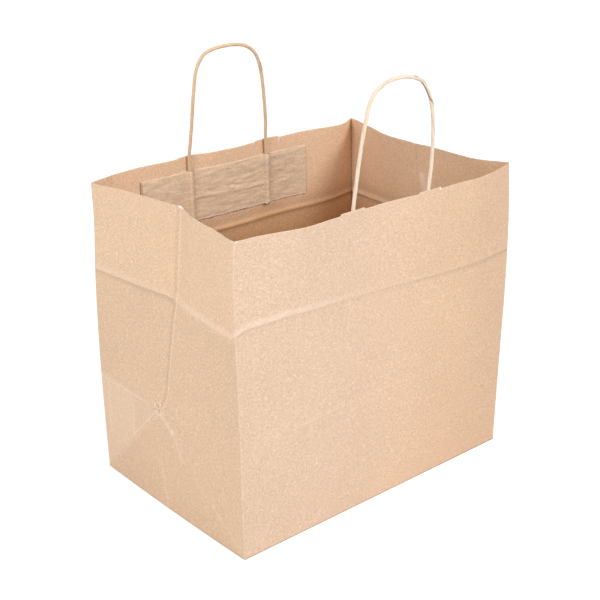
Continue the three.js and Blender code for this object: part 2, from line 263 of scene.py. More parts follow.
def split_at(route, across, over, angle, splits):
    """How near each point of the rings is to a split, from 0 to 1."""
    outward = route - route.mean(axis=0)
    outward /= np.linalg.norm(outward, axis=1)[:, None]
    walked = np.arange(len(route))[:, None] * RING_GAP
    near = np.zeros((len(route), CORD_SIDES))
    for start, end, first, last in splits:
        t = np.clip((walked - start) / (end - start), 0, 1)
        middle = np.array(FRONT_LEFT) + outward * (first + (last - first) * t)
        at = np.arctan2((middle * over).sum(axis=1), (middle * across).sum(axis=1))
        gap = around(angle - at[:, None])
        beyond = np.maximum(start - walked, walked - end)
        here = np.exp(-((gap / SPLIT_WIDTH) ** 2)) * (1 - ease(beyond, 0, SPLIT_FADE))
        near = np.maximum(near, here)
    return near


def twisted_cord(route, phase, splits):
    """Points, faces and readings of one cord: rings along the route, closed at its ends."""
    across, over = ring_frames(route)
    walked = np.arange(len(route))[:, None] * RING_GAP
    angle = np.arange(CORD_SIDES)[None, :] / CORD_SIDES * TURN_ROUND
    lay = angle + phase + walked / TWIST * TURN_ROUND
    radius = np.full(lay.shape, CORD_DIAMETER / 2)
    for start, depth, width in GROOVES:
        radius -= depth * np.exp(-((around(lay - start) / width) ** 2))
    radius *= 1 + FLATTENED * np.sin(walked / FLATTENED_EVERY + phase) * np.cos(2 * lay)
    spoke = np.cos(angle)[..., None] * across[:, None] + np.sin(angle)[..., None] * over[:, None]
    split = split_at(route, across, over, angle, splits)
    radius += SPLIT_LIP * split
    points = (route[:, None] + radius[..., None] * spoke).reshape(-1, 3)
    faces = []
    for start in range(0, len(points) - CORD_SIDES, CORD_SIDES):
        after = start + CORD_SIDES
        for k in range(CORD_SIDES):
            beside = (k + 1) % CORD_SIDES
            faces.append((start + k, start + beside, after + beside, after + k))
    faces.append(tuple(reversed(range(CORD_SIDES))))
    faces.append(tuple(range(len(points) - CORD_SIDES, len(points))))
    along = np.broadcast_to(walked / LAY_UNIT, lay.shape)
    laid = np.stack([np.cos(lay), np.sin(lay), along], axis=-1).reshape(-1, 3)
    return points, faces, {"lay": laid, "seam": around(lay).ravel(), "split": split.ravel()}


cords = {}
for side, phase in PHASES.items():
    cords[side] = make_piece(
        f"{side}_cord", *twisted_cord(routes[side], phase, SPLITS[side]),
        f"{side}_handle_cord", "twisted_paper",
    )
    path = routes[side][::PATH_STEP] * MM
    length = float(np.linalg.norm(np.diff(path, axis=0), axis=1).sum())
    print(side, "cord is", round(length, 3), "m long")

# %% [markdown]
# ## Where the sheet is
#
# The four walls are one sheet, so one function gives any place on it: the wall, how far
# along it, and how high. Straight walls would look like card. A real opened bag leans at
# its corners, bows at its rim and folds in along its gussets, so those are set down here
# as short lists of pairs, a place and a value in millimetres, each read as a curve.


# %% Curves through given pairs
def flowing(knots, at):
    """A smooth curve through (place, value) pairs, read at an array of places."""
    x, y = np.array(knots, dtype=float).T
    slope = np.gradient(y, x)
    i = np.clip(np.searchsorted(x, at) - 1, 0, len(x) - 2)
    gap = x[i + 1] - x[i]
    t = np.clip((at - x[i]) / gap, 0, 1)
    start = (2 * t**3 - 3 * t**2 + 1) * y[i] + (t**3 - 2 * t**2 + t) * gap * slope[i]
    return start + (3 * t**2 - 2 * t**3) * y[i + 1] + (t**3 - t**2) * gap * slope[i + 1]


def straight(knots, at):
    """Straight lines through (place, value) pairs, read at an array of places."""
    return np.interp(at, *np.array(knots, dtype=float).T)


# %% Sizes of the sheet
WIDTH = 310
DEPTH = 207
PAPER = 0.16
FOLD = 204                      # the fold that packed the bag flat
KNEE = 101                      # where the base creases of a gusset meet
BASE_BULGE = 1.4                # how far a gusset's foot bows out in its middle
FAR = 100.0                     # a distance that stands for nowhere near

# Each wall, anticlockwise seen from above: its corners, its length, which way it faces,
# and whether its places are read along +X or +Y (1) or against them (-1). A place on a
# wide wall is its x, from -155 to 155, and on a gusset its y, from -103.5 to 103.5.
Wall = namedtuple("Wall", "start end length outward sign")
WALLS = {
    "front": Wall("front_left", "front_right", WIDTH, (0, -1), 1),
    "right": Wall("front_right", "back_right", DEPTH, (1, 0), 1),
    "rear": Wall("back_right", "back_left", WIDTH, (0, 1), -1),
    "left": Wall("back_left", "front_left", DEPTH, (-1, 0), -1),
}

# Each corner fold: which side it is on in x and in y, and its lean in x and in y by height
CORNERS = {
    "front_left": ((-1, -1), [(0, 0), (102, -0.3), (217, -1.2), (264, 0), (282, 2)],
                   [(0, 0), (204, 0.6), (282, 2.3)]),
    "front_right": ((1, -1), [(0, -0.6), (95, 1.2), (180, 3.2), (250, 2.4), (282, 0.2)],
                    [(0, 0), (204, -1.5), (282, -0.3)]),
    "back_right": ((1, 1), [(0, 0), (204, 1.5), (282, 0.4)],
                   [(0, 0), (204, 1.0), (282, 1.4)]),
    "back_left": ((-1, 1), [(0, -0.4), (43, -0.9), (204, 0.6), (245, 1.8), (282, 0.6)],
                  [(0, 0), (204, -0.8), (282, -5.2)]),
}

# How far the wide walls bow out at the rim and at the packing fold, by x
RIM_BOW = {
    "front": [
        (-155, 0), (-146, 1.1), (-135, 2.1), (-128, 3.5), (-115, 6.6), (-102, 9.9), (-95, 11.3),
        (-84, 11.5), (-75, 10.9), (-66, 10.4), (-57, 10.2), (-43, 10), (-27, 9.3), (-9, 8.8),
        (8, 9.6), (17, 10.7), (27, 11.9), (43, 13.4), (58, 13.1), (81, 12.9), (96, 14.3),
        (105, 13.5), (117, 12), (124, 11), (131, 9), (138, 7), (146, 4.6), (155, 0),
    ],
    "rear": [
        (-155, 0), (-145, 2.5), (-138, 4.1), (-130, 5.8), (-116, 7.5), (-106, 8.1), (-97, 8),
        (-85, 6.9), (-70, 5.4), (-63, 5.2), (-55, 5.8), (-46, 6.5), (-38, 5.2), (-30, 2.9),
        (-22, 1.3), (-8, 0), (1, -1), (9, -1), (18, -0.6), (28, -0.2), (41, 0), (52, -0.9),
        (60, -1.8), (75, -1.9), (83, -2.2), (92, -3.5), (101, -5.2), (110, -6.9), (119, -9.1),
        (128, -10.1), (134, -9.8), (139, -8.3), (144, -6), (149, -3), (155, 0),
    ],
}
FOLD_BOW = {
    "front": [(-155, 0), (-93, 5), (-43, 5), (-15, 5), (43, 6.7), (77, 7.5), (105, 7.5), (155, 0)],
    "rear": [(-155, 0), (-111, 3.2), (-46, 3.2), (15, 0), (50, 0), (127, -4.7), (155, 0)],
}

# How far the gussets stand in: at the rim by y, and along their crease by height
RIM_INSET = {
    "right": [
        (-103.5, 0), (-99, 3.2), (-94, 5.6), (-89, 8.6), (-84, 11.4), (-79, 13.4), (-73, 15),
        (-63, 16.1), (-48, 15.8), (-33, 15.5), (-18, 15.7), (-8, 17.7), (4, 17.6), (28, 17.8),
        (37, 16.7), (42, 15.8), (49, 13.7), (55, 11.8), (67, 8.3), (76, 6), (86, 3.1), (92, 1.2),
        (98, 0.3), (103.5, 0),
    ],
    "left": [
        (-103.5, 0), (-97, 0.1), (-91, 0.9), (-83, 2.8), (-77, 3.8), (-70, 5.2), (-58, 6.8),
        (-44, 9), (-31, 10.9), (-23, 12.8), (-14, 16.6), (-5, 20.3), (0, 18.6), (9, 16.5),
        (18, 14.9), (33, 13), (47, 10.9), (62, 8.4), (76, 5.6), (85, 3.2), (93, 0.8), (103.5, 0),
    ],
}
CREASE_INSET = {
    "right": [(0, 0), (101, -4), (109, -1.5), (140, 3), (204, 12), (282, 17.7)],
    "left": [(0, -1.4), (101, -4.2), (108, -0.6), (115, 1.9), (138, 5.1), (167, 9.7),
             (204, 16.5), (282, 20.3)],
}
CREASE_PLACE = {
    "right": [(0, 0), (101, 1), (204, -2), (282, -3.5)],
    "left": [(0, -0.3), (101, 0.5), (115, -1.6), (204, -2.3), (282, -5)],
}

# %% [markdown]
# ## The folds that packing left
#
# The bag was packed flat with its bottom turned up, and that left a fold right round it.
# Such a fold is not a groove drawn on a flat wall: the paper stands up to a soft ridge
# and falls away on each side, wide on one and short on the other. So a ridge here has a
# height and two reaches, above and below, and each changes along the wall.

# %% The packing fold and the base crease
FOLD_HEIGHT = {
    "front": [(-155, 206), (-146, 209), (-108, 210.5), (-28, 207), (47, 203), (155, 200)],
    "right": [(-103.5, 200), (-90, 206), (-60, 209), (0, 209), (60, 207), (103.5, 205)],
    "rear": [(-155, 202.7), (155, 206)],
    "left": [(-103.5, 206), (-97, 201), (-85, 200), (-12, 197.5), (0, 200), (8, 201.5),
             (60, 202), (103.5, 202.7)],
}
BASE_CREASE = {
    "front": [(-155, 105), (0, 109), (155, 106)],
    "rear": [(-155, 105), (0, 107), (155, 105)],
}

# Ridge out of the wall, its reach above and its reach below, by place along the wall
FOLD_RIDGE = {
    "front": ([(-155, 0.9), (-100, 0.8), (-35, 0.4), (-10, 0.12), (45, 0.12), (90, 0.3),
               (155, 0.35)],
              [(-155, 9), (-100, 9), (-28, 8), (20, 16), (155, 20)],
              [(-155, 3.5), (-28, 3), (20, 4), (155, 8)]),
    "right": ([(-103.5, -0.6), (0, -1), (103.5, -1)],
              [(-103.5, 6), (103.5, 6)],
              [(-103.5, 4), (103.5, 4)]),
    "rear": ([(-155, -1.2), (155, -0.9)],
             [(-155, 5), (155, 6)],
             [(-155, 60), (155, 60)]),
    "left": ([(-103.5, 0.45), (-8, 0.5), (8, 1.6), (103.5, 1.5)],
             [(-103.5, 8), (-8, 8), (8, 4), (103.5, 4)],
             [(-103.5, 6), (-8, 6), (8, 8), (103.5, 8)]),
}

# Single ridges, each a height and its reach to either side, in millimetres
BASE_RIDGE = (0.25, 3, 3)       # along the base crease of a wide wall
REAR_RIDGE = (-0.7, 3, 9)       # a second, sharper one at the rear wall's packing fold
PINCH = (2.0, 18, 8)            # the pinch inside the right gusset
PINCH_PLACE = -10
PINCH_HEIGHTS = (216, 232, 244, 258)
BASE_FADE = 3                   # how near to a corner each kind of ridge dies away
FOLD_FADE = 2.5


def ridge(off, height, above, below):
    """A ridge with its crest at off = 0, of that height and those two reaches."""
    reach = np.where(off > 0, above, below)
    return height * np.clip(1 - np.abs(off) / reach, 0, 1) ** 2


# %% [markdown]
# ## Any place on the sheet
#
# Now the pieces of the shape add up. The paper's own unevenness comes last, as a slow
# noise that fades out where a fold holds the sheet straight, and under the glued patches.

# %% Where the patches are, and how uneven the paper is
PATCH_ENDS = {"front": (-94.9, 93.1), "rear": (-98.6, 89.4)}
PATCH_LOW = 218
PATCH_HIGH = 268
LEG_X = {"front": (-43.6, 43.65), "rear": (-45.7, 41.4)}
GLUED = (92, 110)               # where a patch's hold on the wall ends, from its middle
GLUED_MIDDLE = -3

NOISE_STEPS = (17.3, 5.9, 31.1)     # moves one noise away from the next, in its own waves
WAVES = [(62, 1, 0.9), (27, 2, 0.35), (11, 3, 0.07)]    # size, which noise, height
HELD_AT_CORNER = 22
HELD_AT_FOOT = 18
HELD_AT_CREASE = 14
HELD_BY_GLUE = 0.85


# %% The outer face of the sheet
def noise_at(points, size, seed):
    """Smooth noise from -1 to 1 at each point, with waves of about that many millimetres."""
    shift = Vector([seed * step for step in NOISE_STEPS])
    flat = points.reshape(-1, 3) / size
    values = [noise.noise(Vector(p) + shift) for p in flat.tolist()]
    return np.array(values).reshape(points.shape[:-1])


def crumple(wall, points, off_corner, off_crease):
    """How far the paper strays from its even shape."""
    x, z = points[..., 0], points[..., 2]
    held = ease(off_corner, 0, HELD_AT_CORNER) * ease(z, 0, HELD_AT_FOOT)
    held = held * ease(off_crease, 0, HELD_AT_CREASE)
    if wall in RIM_BOW:
        glued = 1 - ease(np.abs(x - GLUED_MIDDLE), *GLUED)
        glued = glued * ease(z, PATCH_LOW - 13, PATCH_LOW - 2)
        held = held * (1 - HELD_BY_GLUE * glued)
    return held * sum(noise_at(points, size, seed) * height for size, seed, height in WAVES)


def gusset_fold(wall, place, z):
    """How far a place is from its gusset's crease, and a share that is 1 on the crease
    and 0 at the corners."""
    crease = straight(CREASE_PLACE[wall], z)
    off_crease = place - crease
    reach = WALLS[wall].length / 2 + np.where(off_crease > 0, -crease, crease)
    return off_crease, 1 - np.abs(off_crease) / reach


def wide_wall_out(wall, place, z, high, off_corner):
    """How far a wide wall stands out: its bow and the ridge of its base crease."""
    low_bow = flowing(FOLD_BOW[wall], place) * np.clip(z / FOLD, 0, 1)
    bow = low_bow * (1 - high) + flowing(RIM_BOW[wall], place) * high
    off_base = z - straight(BASE_CREASE[wall], place)
    return bow + ridge(off_base, *BASE_RIDGE) * ease(off_corner, 0, BASE_FADE)


def gusset_out(wall, place, z, high):
    """How far a gusset stands out, which is below 0 where it folds in."""
    _, across = gusset_fold(wall, place, z)
    _, at_knee = CREASE_INSET[wall][1]
    _, at_fold = CREASE_INSET[wall][-2]
    tilt = at_knee * np.minimum(across, z / KNEE)
    tilt = tilt - BASE_BULGE * (1 - z / KNEE) * (1 - (1 - across) ** 2)
    read = flowing if wall == "right" else straight
    at_rim = read(RIM_INSET[wall], place)
    inset = straight(CREASE_INSET[wall], z) * across
    inset = np.where(z > FOLD, at_fold * across * (1 - high) + at_rim * high, inset)
    return -np.where(z < KNEE, tilt, inset)


def outer_face(wall, along, z):
    """Points on the outer face at arrays of places along a wall and heights."""
    start, end, length, outward, sign = WALLS[wall]
    share = along / length + 0.5
    place = sign * along
    ends = []
    for name in (start, end):
        (side_x, side_y), lean_x, lean_y = CORNERS[name]
        corner_x = side_x * WIDTH / 2 + flowing(lean_x, z)
        ends.append((corner_x, side_y * DEPTH / 2 + flowing(lean_y, z)))
    (x0, y0), (x1, y1) = ends
    x = x0 + (x1 - x0) * share
    y = y0 + (y1 - y0) * share
    high = np.clip((z - FOLD) / (HEIGHT - FOLD), 0, 1)
    off_fold = z - straight(FOLD_HEIGHT[wall], place)
    off_corner = length / 2 - np.abs(along)
    if wall in RIM_BOW:
        out = wide_wall_out(wall, place, z, high, off_corner)
        off_crease = np.full(z.shape, FAR)
    else:
        out = gusset_out(wall, place, z, high)
        off_crease, _ = gusset_fold(wall, place, z)
    height, above, below = (straight(knots, place) for knots in FOLD_RIDGE[wall])
    out = out + ridge(off_fold, height, above, below) * ease(off_corner, 0, FOLD_FADE)
    if wall == "rear":
        out = out + ridge(off_fold, *REAR_RIDGE) * ease(off_corner, 0, FOLD_FADE)
    if wall == "right":
        low, full, thin, gone = PINCH_HEIGHTS
        pinch = ridge(place - PINCH_PLACE, *PINCH)
        out = out - pinch * (1 - ease(z, thin, gone)) * ease(z, low, full)
    points = np.stack([x + outward[0] * out, y + outward[1] * out, z], axis=-1)
    out = crumple(wall, points, off_corner, np.abs(off_crease))
    points[..., 0] += outward[0] * out
    points[..., 1] += outward[1] * out
    return points


print("middle of the front rim:", outer_face("front", np.zeros(1), np.full(1, float(HEIGHT)))[0])

# %% [markdown]
# ## Two sides and an edge
#
# Paper has thickness, and at the rim it shows. Every piece of the bag is therefore a
# closed thin slab: a grid of points for its face, the same grid moved in by the paper's
# thickness for its back, and narrow faces round the edge. The moves follow the sheet's
# own normals, which come from its neighbouring points.


# %% A slab of paper
def slab(face, thickness, wraps=False):
    """Points and faces of a closed slab behind a grid of points. Its face looks where
    across x up points. A wrapped grid joins its last column to its first."""
    if wraps:
        across = np.roll(face, -1, axis=0) - np.roll(face, 1, axis=0)
    else:
        across = np.gradient(face, axis=0)
    normal = np.cross(across, np.gradient(face, axis=1))
    normal /= np.linalg.norm(normal, axis=-1)[..., None]
    back = face - normal * thickness
    columns, rows = face.shape[:2]
    number = np.arange(columns * rows).reshape(columns, rows)
    if wraps:
        number = np.concatenate([number, number[:1]])
    behind = number + columns * rows

    def strip(a, b, c, d):
        return np.stack([a.ravel(), b.ravel(), c.ravel(), d.ravel()], axis=1)

    faces = [
        strip(number[:-1, :-1], number[1:, :-1], number[1:, 1:], number[:-1, 1:]),
        strip(behind[:-1, 1:], behind[1:, 1:], behind[1:, :-1], behind[:-1, :-1]),
        strip(number[:-1, -1], number[1:, -1], behind[1:, -1], behind[:-1, -1]),
        strip(behind[:-1, 0], behind[1:, 0], number[1:, 0], number[:-1, 0]),
    ]
    if not wraps:
        faces.append(strip(number[0, :-1], number[0, 1:], behind[0, 1:], behind[0, :-1]))
        faces.append(strip(behind[-1, :-1], behind[-1, 1:], number[-1, 1:], number[-1, :-1]))
    points = np.concatenate([face.reshape(-1, 3), back.reshape(-1, 3)])
    return points, np.concatenate(faces)


def both_faces(readings):
    """The readings of a grid, once for its face and once for its back."""
    return {key: np.tile(value.ravel(), 2) for key, value in readings.items()}


def joined(slabs):
    """Several (points, faces, readings) as one."""
    points, faces, start = [], [], 0
    for some_points, some_faces, _ in slabs:
        points.append(some_points)
        faces.append(some_faces + start)
        start += len(some_points)
    keys = slabs[0][2]
    readings = {key: np.concatenate([some[2][key] for some in slabs]) for key in keys}
    return np.concatenate(points), np.concatenate(faces), readings


# %% [markdown]
# ## The walls
#
# The walls are a grid of columns and levels wrapped right round. The grid is fine where
# the paper turns sharply, at the corners, the raised tabs and the packing fold, and
# wider on the flats between. The levels slide up and down with the folds, so that each
# fold has a line of points along it.


# %% Columns and levels
CELLS_MORE = 1.3                # crowded stops need this many more cells than even ones
EVEN = 0.2                      # the share of a gap that is shared out evenly


def graded(marks, widest):
    """Stops from mark to mark, close together at each mark and wider between them."""
    stops = [marks[0]]
    for start, end in zip(marks, marks[1:]):
        cells = max(1, math.ceil((end - start) / widest * CELLS_MORE))
        t = np.arange(1, cells + 1) / cells
        t = EVEN * t + (1 - EVEN) * (0.5 - 0.5 * np.cos(math.pi * t))
        stops.extend(start + (end - start) * t)
    return np.array(stops)


# Raised tabs of the cut rim: ends by x, and the rise at each end
TABS = {
    "front": [(-56.5, -30.2, 1.7, 1.6), (29.5, 53.8, 1.5, 1.7)],
    "rear": [(-60.0, -31.0, 0.8, 0.4), (28.5, 57.0, 1.1, 1.2)],
}
TEAR = 0.8                      # how wide the step at a tab's end is
NICK_HALF = 0.7                 # the nick in the rim where a gusset creases
NICK_DEPTH = 1.4
RIM_UNEVEN = 0.12
WIDE_CELL = 4.2
GUSSET_CELL = 3.4
BESIDE_CREASE = [-9, -1.2, 1.2, 9]


def wall_columns(wall):
    """Where a wall's columns stand along it, close together at its tabs or its crease."""
    half = WALLS[wall].length / 2
    if wall not in TABS:
        return graded([-half, *BESIDE_CREASE, half], GUSSET_CELL)
    marks = [-half, half]
    for start, end, _, _ in TABS[wall]:
        marks += [start - TEAR / 2, start + TEAR / 2, end - TEAR / 2, end + TEAR / 2]
    return graded(sorted(WALLS[wall].sign * mark for mark in marks), WIDE_CELL)


def rim_height(wall, along):
    """The cut edge: tabs on the wide walls, a torn nick where a gusset creases."""
    place = WALLS[wall].sign * along
    height = np.full(along.shape, float(HEIGHT))
    for start, end, rise, fall in TABS.get(wall, []):
        on = (place > start) & (place < end)
        share = (place - start) / (end - start)
        height = np.where(on, HEIGHT + rise + (fall - rise) * share, height)
    if wall not in TABS:
        height = height - NICK_DEPTH * (np.abs(along) < NICK_HALF)
    return height + RIM_UNEVEN * np.sin(along * 1.9) * np.sin(along * 0.37)


# The height of each wall's foot. A wall whose bottom flap lies higher starts higher.
FOOT = {"front": 0.0, "right": 0.48, "rear": 0.16, "left": 0.48}

# Levels that follow a fold up and down: at the base crease, and below and above the
# packing fold. The levels between them are stretched evenly.
AT_BASE = 104
BELOW_FOLD = 180
ABOVE_FOLD = 216
GUSSET_BASE = 105.0             # the height that the base level has on a gusset
LEVELS = np.concatenate([
    graded([0, AT_BASE, BELOW_FOLD], WIDE_CELL), np.arange(181.5, 198, 1.5),
    np.arange(198, 212.1, 0.9), graded([213, PATCH_LOW, 250, HEIGHT - 1, HEIGHT], 3.6),
])
LEVELS = np.unique(np.round(LEVELS, 4))


def wall_grid(wall, columns, levels=LEVELS):
    """Places along a wall and heights, as two grids."""
    place = WALLS[wall].sign * columns
    if wall in BASE_CREASE:
        bases = straight(BASE_CREASE[wall], place)
    else:
        bases = np.full(place.shape, GUSSET_BASE)
    folds = straight(FOLD_HEIGHT[wall], place)
    rims = rim_height(wall, columns)
    heights = []
    for base, fold, rim in zip(bases, folds, rims):
        above = fold + (ABOVE_FOLD - FOLD) * (HEIGHT - fold) / (HEIGHT - FOLD)
        heights.append(np.interp(
            levels, [0, AT_BASE, BELOW_FOLD, FOLD, ABOVE_FOLD, HEIGHT],
            [FOOT[wall], base, fold - (FOLD - BELOW_FOLD), fold, above, rim],
        ))
    return np.repeat(columns[:, None], len(levels), axis=1), np.array(heights)


# %% [markdown]
# A material can't know where a fold is, so the mesh carries a few plain readings for it:
# how far each point is from the packing fold, the base creases, the rim, the nearest
# corner and the rear cord's legs, how torn the paper is there, how pale the fold is
# painted, partly as rubbed wear and partly as painted highlight, how much painted shade
# lies under it, and whether it is on a gusset, on the lap or inside. The distances are
# straight sums, so they stay exact between the points and a line drawn from them is as
# fine as it needs.

# %% What the paper's material reads
SLANT_UNIT = 72                 # turns a share of a gusset into millimetres off its base crease

# How pale the fold is painted, partly rubbed wear and partly painted highlight on its lit
# slope, and how strong the painted shade just under it is, by place along each wall
RUBBED_AND_LIT = {
    "front": [(-155, 1), (-100, 0.9), (-60, 0.5), (-35, 0.15), (-10, 0.05), (155, 0.04)],
    "left": [(-103.5, 0.9), (-20, 0.75), (-9, 0.5), (-3, 0.1), (20, 0.2), (60, 0.4), (103.5, 0.5)],
    "right": [(-103.5, 0), (0, 0.6), (103.5, 1)],
    "rear": [(-155, 0.55), (-50, 0.35), (30, 0.05), (155, 0.05)],
}
SHADED = {
    "front": [(-155, 0), (-60, 0.1), (20, 0.5), (155, 0.8)],
    "left": [(-103.5, 0), (-4, 0), (4, 1), (20, 0.9), (103.5, 0.7)],
    "right": [(-103.5, 0.4), (103.5, 0.7)],
    "rear": [(-155, 1), (155, 1)],
}

# Torn spots on the rim: wall, place, half width, depth, strength
TORN = [
    ("front", -30.2, 0.9, 2.2, 1), ("front", 53.8, 0.9, 2.4, 1), ("front", 29.5, 0.7, 1.8, 0.7),
    ("rear", -58.6, 1.9, 3.6, 1), ("rear", 57.2, 1.0, 8.0, 0.9), ("rear", 60.5, 1.6, 2.0, 0.9),
    ("right", -3.5, 2.6, 3.4, 1), ("left", -4.6, 3.0, 4.0, 1), ("left", -8.5, 2.4, 2.8, 0.9),
    ("front", -152.8, 1.5, 2.2, 1), ("left", -100.8, 1.5, 2.2, 1),
]


def torn_at(wall, place, z):
    """How torn the paper is, from 0 to 1, which fades downwards from the rim."""
    torn = np.zeros(z.shape)
    under = HEIGHT + 1 - z
    for torn_wall, spot, width, depth, strength in TORN:
        if torn_wall == wall:
            near = np.exp(-(((place - spot) / width) ** 2)) * np.exp(-((under / depth) ** 2))
            torn = np.maximum(torn, strength * near)
    return torn


def readings_at(wall, along, z, inside):
    """Every reading of the sheet at arrays of places along a wall and heights."""
    place = WALLS[wall].sign * along
    off_corner = WALLS[wall].length / 2 - np.abs(along)
    if wall in BASE_CREASE:
        off_base = z - straight(BASE_CREASE[wall], place)
        off_crease = FAR + off_corner
    else:
        off_crease, across = gusset_fold(wall, place, z)
        off_base = (z / KNEE - across) * SLANT_UNIT
    if wall == "rear":
        left_leg, right_leg = LEG_X["rear"]
        off_leg = place - np.where(place > 0, right_leg, left_leg)
    else:
        off_leg = off_crease + 2 * FAR
    found = {
        "off_fold": z - straight(FOLD_HEIGHT[wall], place),
        "off_base": off_base,
        "off_rim": rim_height(wall, along[:, 0])[:, None] - z,
        "off_corner": off_corner,
        "off_crease": off_crease,
        "off_leg": off_leg,
        "torn": torn_at(wall, place, z),
        "rubbed": straight(RUBBED_AND_LIT[wall], place),
        "shaded": straight(SHADED[wall], place),
        "side": np.full(z.shape, {"left": -1.0, "right": 1.0}.get(wall, 0.0)),
        "lap": np.zeros(z.shape),
        "inside": np.full(z.shape, float(inside)),
    }
    return {key: value.ravel() for key, value in found.items()}


tube, outer_readings = [], []
for wall in WALLS:
    along, z = wall_grid(wall, wall_columns(wall)[:-1])
    tube.append(outer_face(wall, along, z))
    outer_readings.append(readings_at(wall, along, z, inside=False))
tube = np.concatenate(tube)
tube_points, tube_faces = slab(tube, PAPER, wraps=True)
tube_readings = both_faces({
    key: np.concatenate([readings[key] for readings in outer_readings])
    for key in outer_readings[0]
})
tube_readings["inside"][tube.shape[0] * tube.shape[1]:] = 1
print("walls:", tube.shape[0], "columns,", tube.shape[1], "levels")

# %% [markdown]
# ## The glued seam
#
# The sheet closes into a tube where one edge laps over the other inside the back wall,
# beside the left corner. The lap is the same paper again, so it is a narrow slab lying
# just inside the wall, and its free edge shows as a faint upright step.


# %% The seam's lap
SEAM_LAP = 25
LAP_GAP = 0.05
FROM_CORNER = 0.4               # how far the lap and the bottom webs keep from a corner
SLOPE_REACH = 0.5               # how far to each side a wall's slope is taken from


def inner_face(wall, along, z, depth):
    """Points that far inside the outer face."""
    run = outer_face(wall, along + SLOPE_REACH, z) - outer_face(wall, along - SLOPE_REACH, z)
    run[..., 2] = 0
    run /= np.linalg.norm(run, axis=-1)[..., None]
    inward = np.stack([-run[..., 1], run[..., 0], 0 * z], axis=-1)
    return outer_face(wall, along, z) + inward * depth[..., None]


lap_columns = graded([WIDTH / 2 - SEAM_LAP, WIDTH / 2 - FROM_CORNER], 3)
lap_along, lap_z = wall_grid("rear", lap_columns, LEVELS[LEVELS > 2])
lap_face = inner_face("rear", lap_along, lap_z, np.full(lap_z.shape, PAPER + LAP_GAP))
lap_points, lap_faces = slab(lap_face, PAPER)
lap_readings = both_faces(readings_at("rear", lap_along, lap_z, inside=True))
lap_readings["lap"][:] = 1
print("seam lap:", len(lap_points), "points")

# %% [markdown]
# ## The folded bottom
#
# Under the bag the sheet folds shut: the two side flaps go in first, then the back flap,
# and the front flap is glued over it. Each starts at the foot of its wall. The front and
# back flaps narrow, because their corners fold in with the side flaps as slanting webs.


# %% The flaps
FLAP_LENGTH = 118.5
FLAP_LEVELS = {"front": 0.01, "rear": 0.18, "left": 0.52, "right": 0.52}
WEB_LEVELS = {-1: 0.18, 1: 0.35}    # the webs at the front and at the back
FLAP_LIFT = 0.25                # how far a side flap's free end buckles up
FOLD_STEP = 0.01                # a fold starts just above the foot of its wall
FLAP_INSET = 0.6                # and this share of the paper's thickness inside it
NOWHERE_NEAR = 60.0             # what the bottom reads for its distance from any fold


def between(start, end, share):
    """The place that is a share of the way from start to end."""
    return start + (end - start) * share


def flap_grid(edge, free, cells=26):
    """A grid from a folded edge, a line of points, to a straight free edge."""
    t = np.linspace(0, 1, cells)[None, :, None]
    return between(edge[:, None, :], free[:, None, :], t)


def foot_of(wall, count=61):
    """Points along the foot of a wall, just inside it."""
    along = np.linspace(-0.5, 0.5, count) * WALLS[wall].length
    points = outer_face(wall, along, np.full(count, FOLD_STEP))
    points[:, :2] -= np.array(WALLS[wall].outward) * PAPER * FLAP_INSET
    return points


def bottom_flap(wall, level, tapered):
    """A flap from the foot of its wall to its free edge, lying at that level."""
    edge = foot_of(wall)
    share = np.linspace(0, 1, len(edge))[:, None]
    dx, dy = WALLS[wall].outward
    corners = []
    for end, inwards in ((edge[0], 1), (edge[-1], -1)):
        free = end - np.array([dx, dy, 0]) * FLAP_LENGTH
        if tapered:
            free[0] += inwards * -dy * FLAP_LENGTH
        corners.append(free)
    grid = flap_grid(edge, between(corners[0], corners[1], share))
    lift = 0 if tapered else FLAP_LIFT * np.clip(noise_at(grid, 45, 7), 0, 1)
    grid[..., 2] = level + PAPER + lift * np.linspace(0, 1, grid.shape[1])[None, :]
    return grid


def bottom_web(end, sign, level):
    """The triangle that folds in with a side flap, between it and the flap over it."""
    x, y = end * (WIDTH / 2 - FROM_CORNER), sign * (DEPTH / 2 - FROM_CORNER)
    tip_x, tip_y = end * (WIDTH / 2 - FLAP_LENGTH), sign * (DEPTH / 2 - FLAP_LENGTH)
    corner = np.array([x, y, 0.0])
    share = np.linspace(0.002, 1, 31)[:, None]
    edge = between(corner, np.array([tip_x, y, 0.0]), share)
    free = between(corner, np.array([tip_x, tip_y, 0.0]), share)
    grid = flap_grid(edge, free, 12)
    grid[..., 2] = level + PAPER
    return grid


flaps = [bottom_flap(wall, level, wall in BASE_CREASE) for wall, level in FLAP_LEVELS.items()]
for end in (-1, 1):
    flaps += [bottom_web(end, sign, level) for sign, level in WEB_LEVELS.items()]

bag_slabs = [(tube_points, tube_faces, tube_readings), (lap_points, lap_faces, lap_readings)]
for grid in flaps:
    run = np.cross(grid[-1, 0] - grid[0, 0], grid[0, -1] - grid[0, 0])
    if run[2] < 0:
        grid = grid[::-1]
    points, faces = slab(grid, PAPER)
    plain = {key: np.full(len(points), NOWHERE_NEAR) for key in tube_readings}
    for key in ("torn", "rubbed", "shaded", "side", "lap"):
        plain[key] = np.zeros(len(points))
    plain["inside"] = np.ones(len(points))
    bag_slabs.append((points, faces, plain))
points, faces, readings = joined(bag_slabs)
bag = make_piece("bag_sheet", points, faces.tolist(), readings, "bag_body", "kraft_paper")
